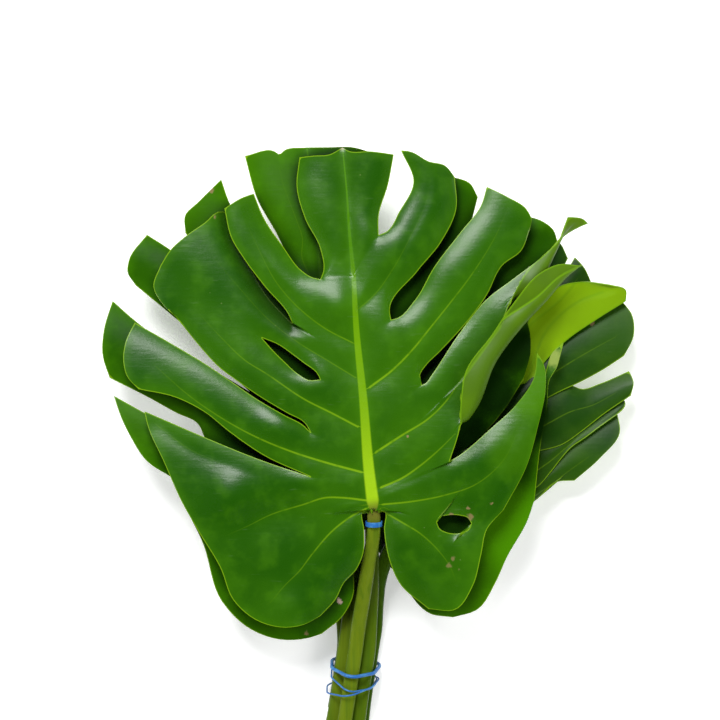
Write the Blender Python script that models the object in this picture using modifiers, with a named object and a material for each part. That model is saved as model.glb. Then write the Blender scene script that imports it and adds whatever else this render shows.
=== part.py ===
"""A bunch of five cut monstera leaves, lying face up and tied with rubber bands.

Metres, +Z up, stems towards -Y, leaf tips towards +Y. Outlines are in millimetres,
measured from the place where the front leaf's petiole meets its blade.
"""
from dataclasses import dataclass, field

import bmesh
import bpy
import numpy as np
from mathutils import Vector

# Driving dimensions in millimetres
MM = 0.001
BLADE_THICKNESS = 0.9
RIB_THICKNESS = 4.2
RIB_HALF_WIDTH = 6.0
DOME_DROP_PER_MM2 = 0.00042
DOME_CENTRE = (-12.0, 105.0)
LAYER_HEIGHTS = {"front": 66.0, "second": 52.0, "right": 39.0, "left": 24.5, "lowest": 13.0}
LOWEST_DROOP_PER_MM2 = 0.0012
LOWEST_MIDDLE = (-40.0, 25.0)
PETIOLE_RADIUS = 5.4
PETIOLE_TOP_RADIUS = 4.8
PETIOLE_TOP_DEPTH = 4.2
SEAT_GAP = 0.3
BAND_CLEARANCE = 0.85
BUNDLE_Y = -121.7
BUNDLE_X = -12.2
BUNDLE_LEAN = 0.15
STEM_FALL = 0.035
STEM_SPREAD = 0.0035
THICK_BAND_RADIUS = 1.25
THIN_BAND_RADIUS = 0.6
STEM_BAND_Y = -14.8
STEM_BAND_WIDTH = 3.6
STEM_BAND_WALL = 0.8
ORIGIN_SHIFT = (3.4, 2.9)

# Each petiole: top x and y at its blade's foot, its place across and up in the bundle,
# the y of its cut end, and the bends on its way
PETIOLES = {
    "front": (0.5, -7.2, -2.5, 29.0, -262.0, [(0.5, -20.0, 58.8), (-3.2, -44.0, 50.0),
                                             (-6.8, -68.0, 40.5), (-10.3, -90.0, 32.4)]),
    "second": (-1.0, -18.5, 7.0, 21.2, -255.0, [(-0.6, -40.0, 40.4), (-1.2, -68.0, 29.4),
                                               (-2.2, -90.0, 23.6)]),
    "right": (35.3, 5.6, 9.5, 9.8, -250.0, [(25.0, -14.0, 32.4), (13.0, -34.0, 29.4),
                                           (5.0, -56.0, 23.0), (2.6, -76.0, 15.8),
                                           (1.6, -93.0, 10.8)]),
    "left": (-12.0, -24.6, -10.4, 20.6, -245.0, [(-12.0, -45.0, 19.8), (-16.0, -76.0, 20.4)]),
    "lowest": (-20.2, -19.2, -10.8, 9.5, -152.0, [(-21.4, -40.0, 8.2), (-22.6, -72.0, 9.0)]),
}

# Mesh density
ROWS = 9
STATIONS = 16
PETIOLE_SEGMENTS = 18
BAND_POINTS = 40
STEM_BAND_SIDES = 24


@dataclass
class Cut:
    """The line between two neighbouring lobes, from the midrib out to the margin."""

    station: int
    seam: list = field(default_factory=list)
    before: list = field(default_factory=list)
    after: list = field(default_factory=list)
    rejoin: list = field(default_factory=list)
    rise: tuple = (0.0, 0.0)


@dataclass
class Lobe:
    """One lobe between two cuts, with its outer margin and its bend."""

    margin: list
    columns: int = 3
    arch: float = 0.0
    crest: list = field(default_factory=list)
    crest_rows: tuple = (0.0, 1.0)


@dataclass
class Leaf:
    """A blade: its midrib, its tip line, and cuts and lobes in turn round the outline."""

    midrib: list
    tip: list
    parts: list
    layer: str
    lie: tuple = (0.0, 0.0, 0.0, 1.0)


FRONT_LEAF = Leaf(
    midrib=[(0.5, -5), (-3, 24), (-7, 74), (-12, 125), (-14, 164)],
    tip=[(-17, 195), (-19, 225), (-22, 256)],
    layer="front",
    parts=[
        Cut(0, after=[(-7, -6), (-6.5, -19), (-7.5, -38), (-12, -48), (-21, -58), (-27, -70), (-38, -82)],
            rise=(0, -3)),
        Lobe([(-50, -88), (-66, -90), (-84, -85), (-101, -70), (-110, -47), (-125, -22)], 4, 5),
        Cut(0, seam=[(-50, -11), (-89, -19), (-125, -22)], rise=(-2, -2)),
        Lobe([(-138, 1), (-151, 30), (-163, 57), (-165, 66)], 4, 4),
        Cut(2, [(-45, 19)], [(-78, 30), (-123, 48), (-144, 57), (-165, 66)],
            [(-78, 34), (-103, 51), (-122, 66), (-142, 76), (-169, 82)], rise=(-5, 2)),
        Lobe([(-177, 91), (-180, 104), (-178, 117), (-172, 130)], 3, 4),
        Cut(4, [(-45, 51)], [(-64, 58), (-86, 75), (-119, 99), (-144, 114), (-172, 130)],
            [(-64, 65), (-86, 79), (-107, 92), (-125, 113), (-141, 133)], rise=(-3, 3)),
        Lobe([(-151, 143), (-158, 156), (-153, 171)], 3, 3),
        Cut(7, [(-38, 89)], [(-46, 88.5), (-54, 93), (-64, 102), (-73.5, 111.5), (-80, 119)],
            [(-40, 93), (-50, 101), (-58, 107), (-68, 114), (-80, 119)],
            rejoin=[(-109, 143), (-135, 161), (-153, 171)], rise=(0, 0)),
        Lobe([(-146, 182), (-135, 192), (-121, 202), (-111, 210)], 3, 3),
        Cut(10, [(-58, 129)], [(-84, 151), (-103, 177), (-112, 194), (-111, 210)],
            [(-78, 156), (-93, 176), (-102, 191), (-107, 212)], rise=(-2, 4)),
        Lobe([(-104, 214), (-94, 220), (-86, 223)], 6, 3),
        Cut(16, [(-38, 161)], [(-45, 163), (-51, 167), (-65, 185), (-79, 206), (-86, 223)],
            [(-36, 166), (-38, 183), (-49, 205), (-55, 228), (-53, 249)], rise=(-2, 2)),
        Lobe([(-43, 250), (-31, 251), (-22, 256)], 3, 3),
        Cut(16, seam=[(-17, 195), (-19, 225), (-22, 256)], rise=(0, 0)),
        Lobe([(-19, 254), (-1, 253), (15, 251)], 3, 3),
        Cut(16, [(4, 193)], [(4, 206), (11, 230), (15, 251)],
            [(9, 195), (19, 210), (29, 231), (20, 254)], rise=(1, 1)),
        Lobe([(27, 253), (40, 246), (52, 243), (59, 235)], 5, 4),
        Cut(11, [(13, 132)], [(12, 138), (32, 167), (49, 188), (60, 212), (59, 235)],
            [(17, 133), (30, 146), (44, 170), (63, 195), (78, 215), (82, 228)], rise=(-2, 2)),
        Lobe([(96, 221), (111, 211), (114, 205), (113, 197)], 5, 4),
        Cut(6, [(35, 84)], [(35, 96), (48, 109), (82, 150), (93, 171), (107, 182), (113, 197)],
            [(40, 91), (62, 122), (80, 145), (103, 163), (126, 181), (136, 192), (148, 199),
             (155, 202)], rise=(2, 1)),
        Lobe([(151, 205), (145, 206), (140, 206)], 6, 0,
             crest=[(102, 139), (117, 155), (124, 166), (130, 178), (136, 191), (142, 203)],
             crest_rows=(0.55, 0.9)),
        Cut(3, [(48, 73), (77, 105), (94, 133)],
            [(100, 148), (112, 168), (122, 178), (134, 190), (137, 198), (140, 206)],
            [(117, 148), (135, 164), (149, 171)], rise=(6, 2)),
        Lobe([(150, 171), (150, 172)], 8, 0,
             crest=[(63, 52), (75, 71), (87, 101), (103, 123), (126, 148), (138, 162), (149, 171)],
             crest_rows=(0.28, 1.01)),
        Cut(1, [(55, 30)],
            [(62, 53), (63, 74), (66, 94), (85, 121), (100, 143), (122, 167), (134, 172), (149, 171)],
            [(60, 33), (84, 53), (104, 72), (116, 91), (118, 108)], rise=(3, 4)),
        Lobe([(123, 99), (124, 85), (118, 53), (111, 28), (94, -5)], 4, 4),
        Cut(0, [(24, -7), (46, -13)], [(53, -10), (63, -9), (71, -14)],
            [(52, -20), (60, -22), (71, -14)], rejoin=[(83, -9), (94, -5)], rise=(0, 0)),
        Lobe([(82, -19), (78, -37), (72, -60), (60, -77), (40, -77)], 4, 5),
        Cut(0, [], [(8, -6), (8, -19), (12, -42), (19, -58), (40, -77)], rise=(-3, 0)),
    ],
)


SECOND_LEAF = Leaf(
    midrib=[(-1, -17), (-9, 24), (-19, 74), (-30, 125), (-37, 164)],
    tip=[(-42, 211), (-48, 257)],
    layer="second",
    parts=[
        Cut(0, after=[(-9, -19), (-14, -41), (-15, -70), (-22, -83), (-37, -96)], rise=(0, -4)),
        Lobe([(-47, -99), (-67, -100), (-91, -91), (-109, -73), (-124, -28), (-136, -4)], 5, 5),
        Cut(1, [(-80, 8)], [(-103, 7), (-136, -4)], [(-107, 14), (-146, 18)], rise=(-4, -1)),
        Lobe([(-164, 30), (-176, 48), (-182, 60), (-188, 77)], 3, 3),
        Cut(3, [(-80, 33), (-122, 47)], [(-140, 51), (-168, 66), (-188, 77)],
            [(-126, 56), (-143, 65), (-161, 75), (-191, 90)], rise=(-2, 0)),
        Lobe([(-196, 107), (-195, 125), (-189, 146)], 3, 3),
        Cut(6, [(-89, 80)], [(-121, 99), (-150, 115), (-173, 132), (-189, 146)],
            [(-104, 94), (-121, 114), (-144, 134), (-172, 157)], rise=(-2, -1)),
        Lobe([(-178, 167), (-177, 175), (-164, 194)], 3, 3),
        Cut(9, [(-80, 127)], [(-99, 143), (-125, 164), (-147, 183), (-164, 194)],
            [(-92, 145), (-114, 168), (-136, 195)], rise=(-3, 0)),
        Lobe([(-136, 208), (-127, 217), (-110, 234)], 3, 2),
        Cut(12, [(-63, 155)], [(-80, 174), (-92, 195), (-104, 217), (-110, 234)],
            [(-60, 171), (-68, 191), (-84, 220), (-93, 251)], rise=(-3, 0)),
        Lobe([(-71, 254), (-68, 252), (-64, 255), (-48, 257)], 4, 2),
        Cut(16, seam=[(-42, 211), (-48, 257)], rise=(0, 0)),
        Lobe([(-31, 257), (-15, 257), (0, 253)], 3, 2),
        Cut(16, [(-15, 172)], [(-9, 189), (-3, 222), (0, 253)],
            [(-2, 174), (19, 189), (32, 211), (42, 235)], rise=(0, 0)),
        Lobe([(59, 235), (70, 231), (76, 221)], 4, 2),
        Cut(12, [(19, 121)], [(32, 139), (52, 168), (70, 200), (76, 221)],
            [(37, 133), (63, 161), (91, 193), (113, 207)], rise=(0, 0)),
        Lobe([(122, 204), (131, 197), (134, 189)], 4, 2),
        Cut(8, [(55, 78)], [(73, 99), (97, 128), (119, 159), (134, 189)],
            [(70, 85), (89, 110), (109, 138)], rise=(-2, -3)),
        Lobe([(113, 126), (114, 110), (109, 89)], 4, 2),
        Cut(4, [(64, 37)], [(78, 48), (95, 67), (109, 89)],
            [(84, 51), (112, 80), (127, 104), (138, 116)], rise=(-3, 0)),
        Lobe([(133, 103), (128, 91), (126, 71), (121, 40), (117, 2)], 4, 4),
        Cut(0, seam=[(34, -10), (77, -6), (117, 2)], rise=(-1, -1)),
        Lobe([(112, -13), (97, -40), (89, -58), (76, -78), (58, -84)], 4, 4),
        Cut(0, [], [(8, -19), (16, -41), (27, -67), (41, -81), (58, -84)], rise=(-3, 0)),
    ],
)

RIGHT_LEAF = Leaf(
    midrib=[(37, 8), (48, 53), (67, 103), (86, 143)],
    tip=[(100, 171), (113, 195)],
    layer="right",
    parts=[
        Cut(0, after=[(28, 8), (14, -6), (2, -14)], rise=(0, -2)),
        Lobe([(-12, -14), (-24, -2), (-27, 17)], 4, 3),
        Cut(4, [(14, 37)], [(-6, 27), (-27, 17)], [(-2, 48), (-24, 53)], rise=(-2, -2)),
        Lobe([(-31, 74), (-20, 103)], 4, 3),
        Cut(8, [(28, 80)], [(5, 92), (-20, 103)], [(19, 110), (1, 128)], rise=(-2, -2)),
        Lobe([(1, 153), (23, 168)], 4, 2),
        Cut(12, [(53, 125)], [(37, 146), (23, 168)], [(55, 153), (48, 182)], rise=(-2, -2)),
        Lobe([(70, 195), (91, 199), (113, 195)], 4, 2),
        Cut(16, seam=[(100, 171), (113, 195)], rise=(0, 0)),
        Lobe([(124, 192), (135, 189), (142, 177)], 2, 2),
        Cut(16, [(106, 132)], [(120, 150), (136, 166), (142, 177)],
            [(124, 144), (140, 160), (147, 178)], rise=(0, 0)),
        Lobe([(154, 170), (159, 160)], 3, 2),
        Cut(13, [(90, 102)], [(113, 117), (138, 135), (159, 160)],
            [(100, 96), (108, 74), (124, 101), (140, 117), (163, 133), (184, 146)], rise=(-3, 3)),
        Lobe([(184, 154), (172, 158)], 6, -3),
        Cut(9, [(81, 60)], [(92, 70), (102, 88), (111, 113), (113, 133), (124, 148), (134, 156),
                            (153, 160), (172, 158)],
            [(95, 78), (112, 98), (135, 119), (160, 137), (181, 147)], rise=(9, -5)),
        Lobe([(189, 136), (190, 121), (183, 106)], 5, 2),
        Cut(7, [(84, 42)], [(106, 62), (130, 77), (153, 88), (166, 95), (183, 106)],
            [(104, 57), (128, 79), (143, 85), (152, 82), (166, 86), (187, 95)], rise=(1, -5)),
        Lobe([(190, 87), (188, 77)], 4, 2),
        Cut(5, [(84, 27)], [(102, 33), (122, 37), (137, 41), (152, 51), (166, 62), (188, 77)],
            [(102, 28), (122, 38), (142, 49), (163, 65), (182, 76)], rise=(1, -5)),
        Lobe([(184, 72), (179, 64)], 4, 1),
        Cut(2, [(84, 6)], [(119, 10), (130, 22), (137, 31), (144, 39), (154, 46), (166, 55), (179, 64)],
            [(108, 6), (128, 24), (145, 42), (166, 58), (178, 66)], rise=(1, -5)),
        Lobe([(180, 50), (166, 32), (147, 15)], 4, 2),
        Cut(0, [], [(44, 1), (42, -12), (64, -20), (91, -14), (119, 1), (134, 14), (147, 15)],
            rise=(-3, 0)),
    ],
)

PLAIN_LEAF_PARTS = [
    Cut(0, after=[(-14, -5), (-22, -28), (-32, -56), (-46, -83)], rise=(0, 4)),
    Lobe([(-70, -92), (-101, -70), (-120, -30), (-130, -8)], 4, 2),
    Cut(1, [(-60, 5)], [(-95, 2), (-130, -8)], [(-100, 12), (-145, 14)], rise=(-3, -2)),
    Lobe([(-158, 35), (-165, 66)], 3, 3),
    Cut(4, [(-45, 40)], [(-90, 54), (-165, 66)], [(-100, 74), (-165, 92)], rise=(-3, -2)),
    Lobe([(-172, 110), (-165, 134)], 3, 3),
    Cut(8, [(-50, 84)], [(-100, 107), (-165, 134)], [(-95, 125), (-146, 164)], rise=(-3, -2)),
    Lobe([(-138, 190), (-118, 210)], 3, 3),
    Cut(12, [(-46, 138)], [(-80, 170), (-118, 210)], [(-66, 186), (-88, 228)], rise=(-3, -2)),
    Lobe([(-66, 246), (-38, 252)], 3, 3),
    Cut(16, [(-24, 178)], [(-32, 214), (-38, 252)], [(-16, 210), (-20, 254)], rise=(-2, -2)),
    Lobe([(-8, 258), (0, 262)], 2, 1),
    Cut(16, seam=[(0, 210), (0, 262)], rise=(-2, -2)),
    Lobe([(8, 258), (20, 254)], 2, 1),
    Cut(16, [(24, 178)], [(16, 210), (20, 254)], [(32, 214), (38, 252)], rise=(-2, -2)),
    Lobe([(66, 246), (88, 228)], 3, 3),
    Cut(12, [(46, 138)], [(66, 186), (88, 228)], [(80, 170), (118, 210)], rise=(-2, -3)),
    Lobe([(138, 190), (146, 164)], 3, 3),
    Cut(8, [(50, 84)], [(95, 125), (146, 164)], [(100, 107), (165, 134)], rise=(-2, -3)),
    Lobe([(172, 110), (165, 92)], 3, 3),
    Cut(4, [(45, 40)], [(100, 74), (165, 92)], [(90, 54), (165, 66)], rise=(-2, -3)),
    Lobe([(158, 35), (145, 14)], 3, 3),
    Cut(1, [(60, 5)], [(100, 12), (145, 14)], [(95, 2), (130, -8)], rise=(-2, -3)),
    Lobe([(120, -30), (101, -70), (70, -92), (46, -83)], 4, 2),
    Cut(0, [], [(14, -5), (22, -28), (32, -56), (46, -83)], rise=(4, 0)),
]
PLAIN_MIDRIB = [(0, -3), (0, 60), (0, 120), (0, 166)]
PLAIN_TIP = [(0, 210), (0, 262)]
LEFT_LEAF = Leaf(PLAIN_MIDRIB, PLAIN_TIP, PLAIN_LEAF_PARTS, "left", (-12.0, -20.0, 14.0, 0.66))
LOWEST_LEAF = Leaf(PLAIN_MIDRIB, PLAIN_TIP, PLAIN_LEAF_PARTS, "lowest", (-20.0, -14.0, 14.0, 0.64))


def through(points, segments):
    """Evenly spaced points on a smooth curve through the given points."""
    p = np.array(points, float)
    if len(p) == 2:
        f = np.linspace(0.0, 1.0, segments + 1)[:, None]
        return p[0] * (1 - f) + p[1] * f
    chord = np.maximum(np.linalg.norm(np.diff(p, axis=0), axis=1), 1e-9)
    knot = np.concatenate([[0.0], np.cumsum(chord)])
    return resample(hermite(knot, p, np.linspace(0.0, knot[-1], 40 * len(p))), segments)


def hermite(knot, values, at):
    """Smooth curve with slopes from neighbouring points, read at the given places."""
    step = np.diff(knot)
    slope = np.diff(values, axis=0) / step.reshape((-1,) + (1,) * (values.ndim - 1))
    tangent = np.empty_like(values)
    tangent[0], tangent[-1] = slope[0], slope[-1]
    mix = (step[:-1] / (step[:-1] + step[1:])).reshape((-1,) + (1,) * (values.ndim - 1))
    tangent[1:-1] = slope[:-1] * (1 - mix) + slope[1:] * mix
    i = np.clip(np.searchsorted(knot, at, side="right") - 1, 0, len(step) - 1)
    shape = (-1,) + (1,) * (values.ndim - 1)
    h = step[i].reshape(shape)
    u = ((at - knot[i]) / step[i]).reshape(shape)
    return (values[i] * (1 + 2 * u) * (1 - u) ** 2 + values[i + 1] * u * u * (3 - 2 * u)
            + tangent[i] * h * u * (1 - u) ** 2 - tangent[i + 1] * h * u * u * (1 - u))


def resample(line, segments):
    """The same polyline with evenly spaced points."""
    length = np.concatenate([[0.0], np.cumsum(np.linalg.norm(np.diff(line, axis=0), axis=1))])
    at = np.linspace(0.0, length[-1], segments + 1)
    return np.stack([np.interp(at, length, line[:, k]) for k in range(line.shape[1])], axis=1)


def smooth(f):
    """A soft step from 0 to 1."""
    f = np.clip(f, 0.0, 1.0)
    return f * f * (3 - 2 * f)


def run_length(points):
    """Length of a polyline."""
    return float(np.sum(np.linalg.norm(np.diff(np.array(points, float), axis=0), axis=1)))


def cut_lines(cut, foot, rows):
    """The two sides of a cut as arrays of rows + 1 points with heights, and its knee row."""
    if not cut.before and not cut.after:
        line = through([foot] + cut.seam, rows)
        height = cut.rise[0] * smooth(np.linspace(0.0, 1.0, rows + 1))
        line = np.column_stack([line, height])
        return line, line, rows
    bottom = cut.seam[-1] if cut.seam else foot
    open_run = max(run_length([bottom] + cut.before), run_length([bottom] + cut.after))
    seam_run = run_length([foot] + cut.seam)
    end_run = run_length([(cut.before or cut.after)[-1]] + cut.rejoin)
    total = open_run + seam_run + end_run
    knee = int(round(rows * seam_run / total)) if cut.seam else 0
    knee = max(knee, 1) if cut.seam else 0
    last = rows - max(1, int(round(rows * end_run / total))) if cut.rejoin else rows
    if cut.rejoin:
        last = max(last, knee + 2)
    sides = []
    for side, rise in ((cut.before, cut.rise[0]), (cut.after, cut.rise[1])):
        side = side or cut.before or cut.after
        pieces = []
        if knee:
            pieces.append(through([foot] + cut.seam, knee)[:-1])
        pieces.append(through([bottom] + side, last - knee))
        if cut.rejoin:
            pieces.append(through([side[-1]] + cut.rejoin, rows - last)[1:])
        line = np.concatenate(pieces)
        ramp = smooth((np.arange(rows + 1) - knee) / (rows - knee))
        sides.append(np.column_stack([line, rise * ramp]))
    return sides[0], sides[1], knee


def folded_rails(before, after, crest, band, rows, knee):
    """Lines across a lobe whose outer edge turns up and over its crest line."""
    line = through([tuple(after[knee, :2])] + crest, rows - knee)
    line = np.concatenate([np.repeat(line[:1], knee, axis=0), line])
    inward = after[:, :2] - line
    width = np.linalg.norm(inward, axis=1, keepdims=True)
    inward = inward / np.maximum(width, 1e-6)
    span = np.linspace(0.0, 1.0, rows + 1)[:, None]
    turned = smooth((span - band[0]) / 0.12) * (1 - smooth((span - band[1]) / 0.08))
    turned = turned * smooth((span * rows - knee) / (0.15 * rows))
    height = 0.5 * np.minimum(width, 22.0) * turned
    rails = []
    for knot, back, lift in ((0.42, 0.42, -0.10), (0.62, 0.0, 0.45), (0.76, 0.22, 0.9)):
        flat = before * (1 - knot) + after * knot
        over = np.column_stack([line + inward * width * back, np.zeros(rows + 1)])
        over[:, 2:] = flat[:, 2:] + height * lift
        rails.append((knot, flat * (1 - turned) + over * turned))
    edge = after.copy()
    edge[:, 2:] += height
    return [(0.0, before)] + rails + [(1.0, edge)]


def lobe_grid(lobe, before, after, knee, start, rows):
    """A grid of points over one lobe: along its length, and across it."""
    across = len(start) - 1
    t = np.linspace(0.0, 1.0, across + 1)
    s = np.linspace(0.0, 1.0, rows + 1)[:, None, None]
    if lobe.crest:
        rails = folded_rails(before, after, lobe.crest, lobe.crest_rows, rows, knee)
    else:
        rails = [(0.0, before), (1.0, after)]
    knots = np.array([k for k, _ in rails])
    lines = np.stack([r for _, r in rails])
    loft = hermite(knots, lines, t).transpose(1, 0, 2)
    corners = [tuple(rails[0][1][-1, :2])] + list(lobe.margin)
    if np.hypot(*(np.array(corners[-1]) - rails[-1][1][-1, :2])) > 0.5:
        corners.append(tuple(rails[-1][1][-1, :2]))
    else:
        corners[-1] = tuple(rails[-1][1][-1, :2])
    outer = np.column_stack([through(corners, across), loft[-1, :, 2]])
    outer[0], outer[-1] = rails[0][1][-1], rails[-1][1][-1]
    grid = loft + (1 - s) * (start - loft[0]) + s * (outer - loft[-1])
    bulge = 4 * t * (1 - t) * smooth(s[:, :, 0] / 0.35)
    grid[:, :, 2] += lobe.arch * bulge
    return grid


def placed(points, lie):
    """Turn, scale and move plan points: lie is x, y, degrees and scale."""
    turn = np.radians(lie[2])
    x, y = points[:, 0] * lie[3], points[:, 1] * lie[3]
    points[:, 0], points[:, 1] = (lie[0] + x * np.cos(turn) - y * np.sin(turn),
                                  lie[1] + x * np.sin(turn) + y * np.cos(turn))
    return points


def dome(x, y):
    """How far the bunch's rounded top drops at a place, from the junction of the front leaf."""
    reach = (x - DOME_CENTRE[0]) ** 2 + (y - DOME_CENTRE[1]) ** 2
    level = DOME_CENTRE[0] ** 2 + DOME_CENTRE[1] ** 2
    return DOME_DROP_PER_MM2 * (level - reach)


def wall_depth(points, line):
    """Wall under each point: deepest on the midrib near its foot, plain blade away from it."""
    run = np.linspace(1.0, 0.0, len(line))
    gap = np.linalg.norm(points[:, None, :2] - line[None, :, :2], axis=2)
    near = gap.argmin(axis=1)
    return BLADE_THICKNESS + (RIB_THICKNESS - BLADE_THICKNESS) * run[near] * smooth(
        1 - gap.min(axis=1) / RIB_HALF_WIDTH)


def leaf_surface(leaf, density=1):
    """Points, faces and midrib line of a blade's upper surface, in millimetres."""
    rows, stations = ROWS * density, STATIONS * density
    rib = np.column_stack([through(leaf.midrib, stations), np.zeros(stations + 1)])
    cuts = leaf.parts[0::2]
    lobes = leaf.parts[1::2]
    lines = []
    for cut in cuts:
        foot = tuple(rib[cut.station * density, :2])
        lines.append(cut_lines(cut, foot, rows))
    points, faces, offset = [], [], 0
    for i, lobe in enumerate(lobes):
        before, knee = lines[i][1], lines[i + 1][2]
        after = lines[i + 1][0]
        across = lobe.columns * density
        first, last = cuts[i].station * density, cuts[i + 1].station * density
        index = np.round(np.linspace(first, last, across + 1)).astype(int)
        grid = lobe_grid(lobe, before, after, knee, rib[index], rows)
        points.append(grid.reshape(-1, 3))
        a = offset + np.arange(rows)[:, None] * (across + 1) + np.arange(across)[None, :]
        a = a.ravel()
        faces.append(np.stack([a, a + 1, a + across + 2, a + across + 1], axis=1))
        offset += (rows + 1) * (across + 1)
    points, faces = np.concatenate(points), np.concatenate(faces)
    line = placed(np.concatenate([rib, np.column_stack([through([leaf.midrib[-1]] + leaf.tip, stations),
                                                        np.zeros(stations + 1)])]), leaf.lie)
    points = placed(points, leaf.lie)
    points[:, 2] += LAYER_HEIGHTS[leaf.layer] + dome(points[:, 0], points[:, 1])
    if leaf.layer == "lowest":
        reach = (points[:, 0] - LOWEST_MIDDLE[0]) ** 2 + (points[:, 1] - LOWEST_MIDDLE[1]) ** 2
        points[:, 2] = np.maximum(points[:, 2] - LOWEST_DROOP_PER_MM2 * reach,
                                  wall_depth(points, line))
    return points, faces, line


def material(name, colour, roughness):
    """A plain coloured finish."""
    made = bpy.data.materials.new(name)
    made.use_nodes = True
    shader = made.node_tree.nodes["Principled BSDF"]
    shader.inputs["Base Color"].default_value = (*colour, 1.0)
    shader.inputs["Roughness"].default_value = roughness
    shader.inputs["Metallic"].default_value = 0.0
    return made


def add_blade(name, leaf, finish, home):
    """A blade as an open surface with thickness, deeper along its midrib."""
    points, faces, line = leaf_surface(leaf)
    mesh = bpy.data.meshes.new(name)
    world = points + np.array([ORIGIN_SHIFT[0], ORIGIN_SHIFT[1], 0.0])
    mesh.from_pydata((world * MM).tolist(), [], faces.tolist())
    work = bmesh.new()
    work.from_mesh(mesh)
    bmesh.ops.remove_doubles(work, verts=work.verts, dist=0.02 * MM)
    bmesh.ops.dissolve_degenerate(work, edges=work.edges, dist=0.02 * MM)
    bmesh.ops.triangulate(work, faces=work.faces)
    bmesh.ops.recalc_face_normals(work, faces=work.faces)
    if sum(f.normal.z * f.calc_area() for f in work.faces) < 0:
        bmesh.ops.reverse_faces(work, faces=work.faces)
    work.to_mesh(mesh)
    work.free()
    blade = bpy.data.objects.new(name, mesh)
    home.objects.link(blade)
    mesh.materials.append(finish)
    count = len(mesh.vertices)
    kept = np.empty(count * 3)
    mesh.vertices.foreach_get("co", kept)
    kept = kept.reshape(-1, 3) / MM - np.array([ORIGIN_SHIFT[0], ORIGIN_SHIFT[1], 0.0])
    group = blade.vertex_groups.new(name="rib")
    for i, weight in enumerate(wall_depth(kept, line) / RIB_THICKNESS):
        group.add([i], float(weight), "REPLACE")
    shell = blade.modifiers.new("thickness", "SOLIDIFY")
    shell.thickness = RIB_THICKNESS * MM
    shell.offset = -1.0
    shell.vertex_group = "rib"
    shell.thickness_vertex_group = 0.0
    mesh.shade_smooth()
    return blade


def bundle_x(y):
    """Sideways place of the bundle's middle, which leans, at a distance along the stems."""
    return BUNDLE_X + BUNDLE_LEAN * (y - BUNDLE_Y)


def petiole_route(name):
    """Points along a petiole's middle line, from under its blade to its cut end."""
    top_x, top_y, across, height, end_y, bend = PETIOLES[name]
    top = LAYER_HEIGHTS[name] + dome(top_x, top_y) - PETIOLE_TOP_DEPTH
    points = [(top_x, top_y, top)] + bend
    for y in (BUNDLE_Y + 13, BUNDLE_Y, BUNDLE_Y - 22):
        points.append((bundle_x(y) + across, y, height))
    start = BUNDLE_Y - 22
    steps = max(1, int(round((start - end_y) / 30.0)))
    for k in range(1, steps + 1):
        past = (start - end_y) * k / steps
        low = max(height - STEM_FALL * past, PETIOLE_RADIUS + SEAT_GAP)
        points.append((bundle_x(start - past) + across * (1 + STEM_SPREAD * past), start - past, low))
    return points


def add_petiole(name, finish, home):
    """A leaf stalk: a tapering tube along its route, with flat ends."""
    route = through(petiole_route(name), PETIOLE_SEGMENTS)
    curve = bpy.data.curves.new(name + "_petiole", "CURVE")
    curve.dimensions = "3D"
    curve.bevel_depth = PETIOLE_RADIUS * MM
    curve.bevel_resolution = 3
    curve.use_fill_caps = True
    spline = curve.splines.new("POLY")
    spline.points.add(len(route) - 1)
    for k, (point, place) in enumerate(zip(spline.points, route)):
        x, y, z = place
        point.co = ((x + ORIGIN_SHIFT[0]) * MM, (y + ORIGIN_SHIFT[1]) * MM, z * MM, 1.0)
        thin = PETIOLE_TOP_RADIUS / PETIOLE_RADIUS
        point.radius = thin + (1 - thin) * min(1.0, 3 * k / PETIOLE_SEGMENTS)
    stalk = bpy.data.objects.new(name + "_petiole", curve)
    curve.materials.append(finish)
    home.objects.link(stalk)
    return stalk


def band_loop(y, grow, members, tilt_z, tilt_x):
    """A closed line round the petioles: the outline that a stretched band takes."""
    routes = [through(petiole_route(name), 400) for name in members]
    angle = np.linspace(0.0, 2 * np.pi, BAND_POINTS, endpoint=False)
    out = np.column_stack([np.cos(angle), np.sin(angle)])
    along = np.full(BAND_POINTS, y)
    for _ in range(4):
        near = [np.abs(route[:, 1, None] - along[None, :]).argmin(axis=0) for route in routes]
        centres = np.stack([route[k][:, [0, 2]] for route, k in zip(routes, near)])
        carried = np.einsum("mkc,kc->mk", centres, out).argmax(axis=0)
        flat = centres[carried, np.arange(BAND_POINTS)] + out * (PETIOLE_RADIUS + grow)
        middle = centres.mean(axis=(0, 1))
        along = y + tilt_z * (flat[:, 1] - middle[1]) + tilt_x * (flat[:, 0] - middle[0])
    return np.column_stack([flat[:, 0], along, flat[:, 1]])


def add_band(name, loop, radius, finish, home):
    """A rubber band: a round cord closed on itself."""
    curve = bpy.data.curves.new(name, "CURVE")
    curve.dimensions = "3D"
    curve.bevel_depth = radius * MM
    curve.bevel_resolution = 1
    spline = curve.splines.new("POLY")
    spline.points.add(len(loop) - 1)
    for point, (x, y, z) in zip(spline.points, loop):
        point.co = ((x + ORIGIN_SHIFT[0]) * MM, (y + ORIGIN_SHIFT[1]) * MM, z * MM, 1.0)
    spline.use_cyclic_u = True
    band = bpy.data.objects.new(name, curve)
    curve.materials.append(finish)
    home.objects.link(band)
    return band


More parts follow.
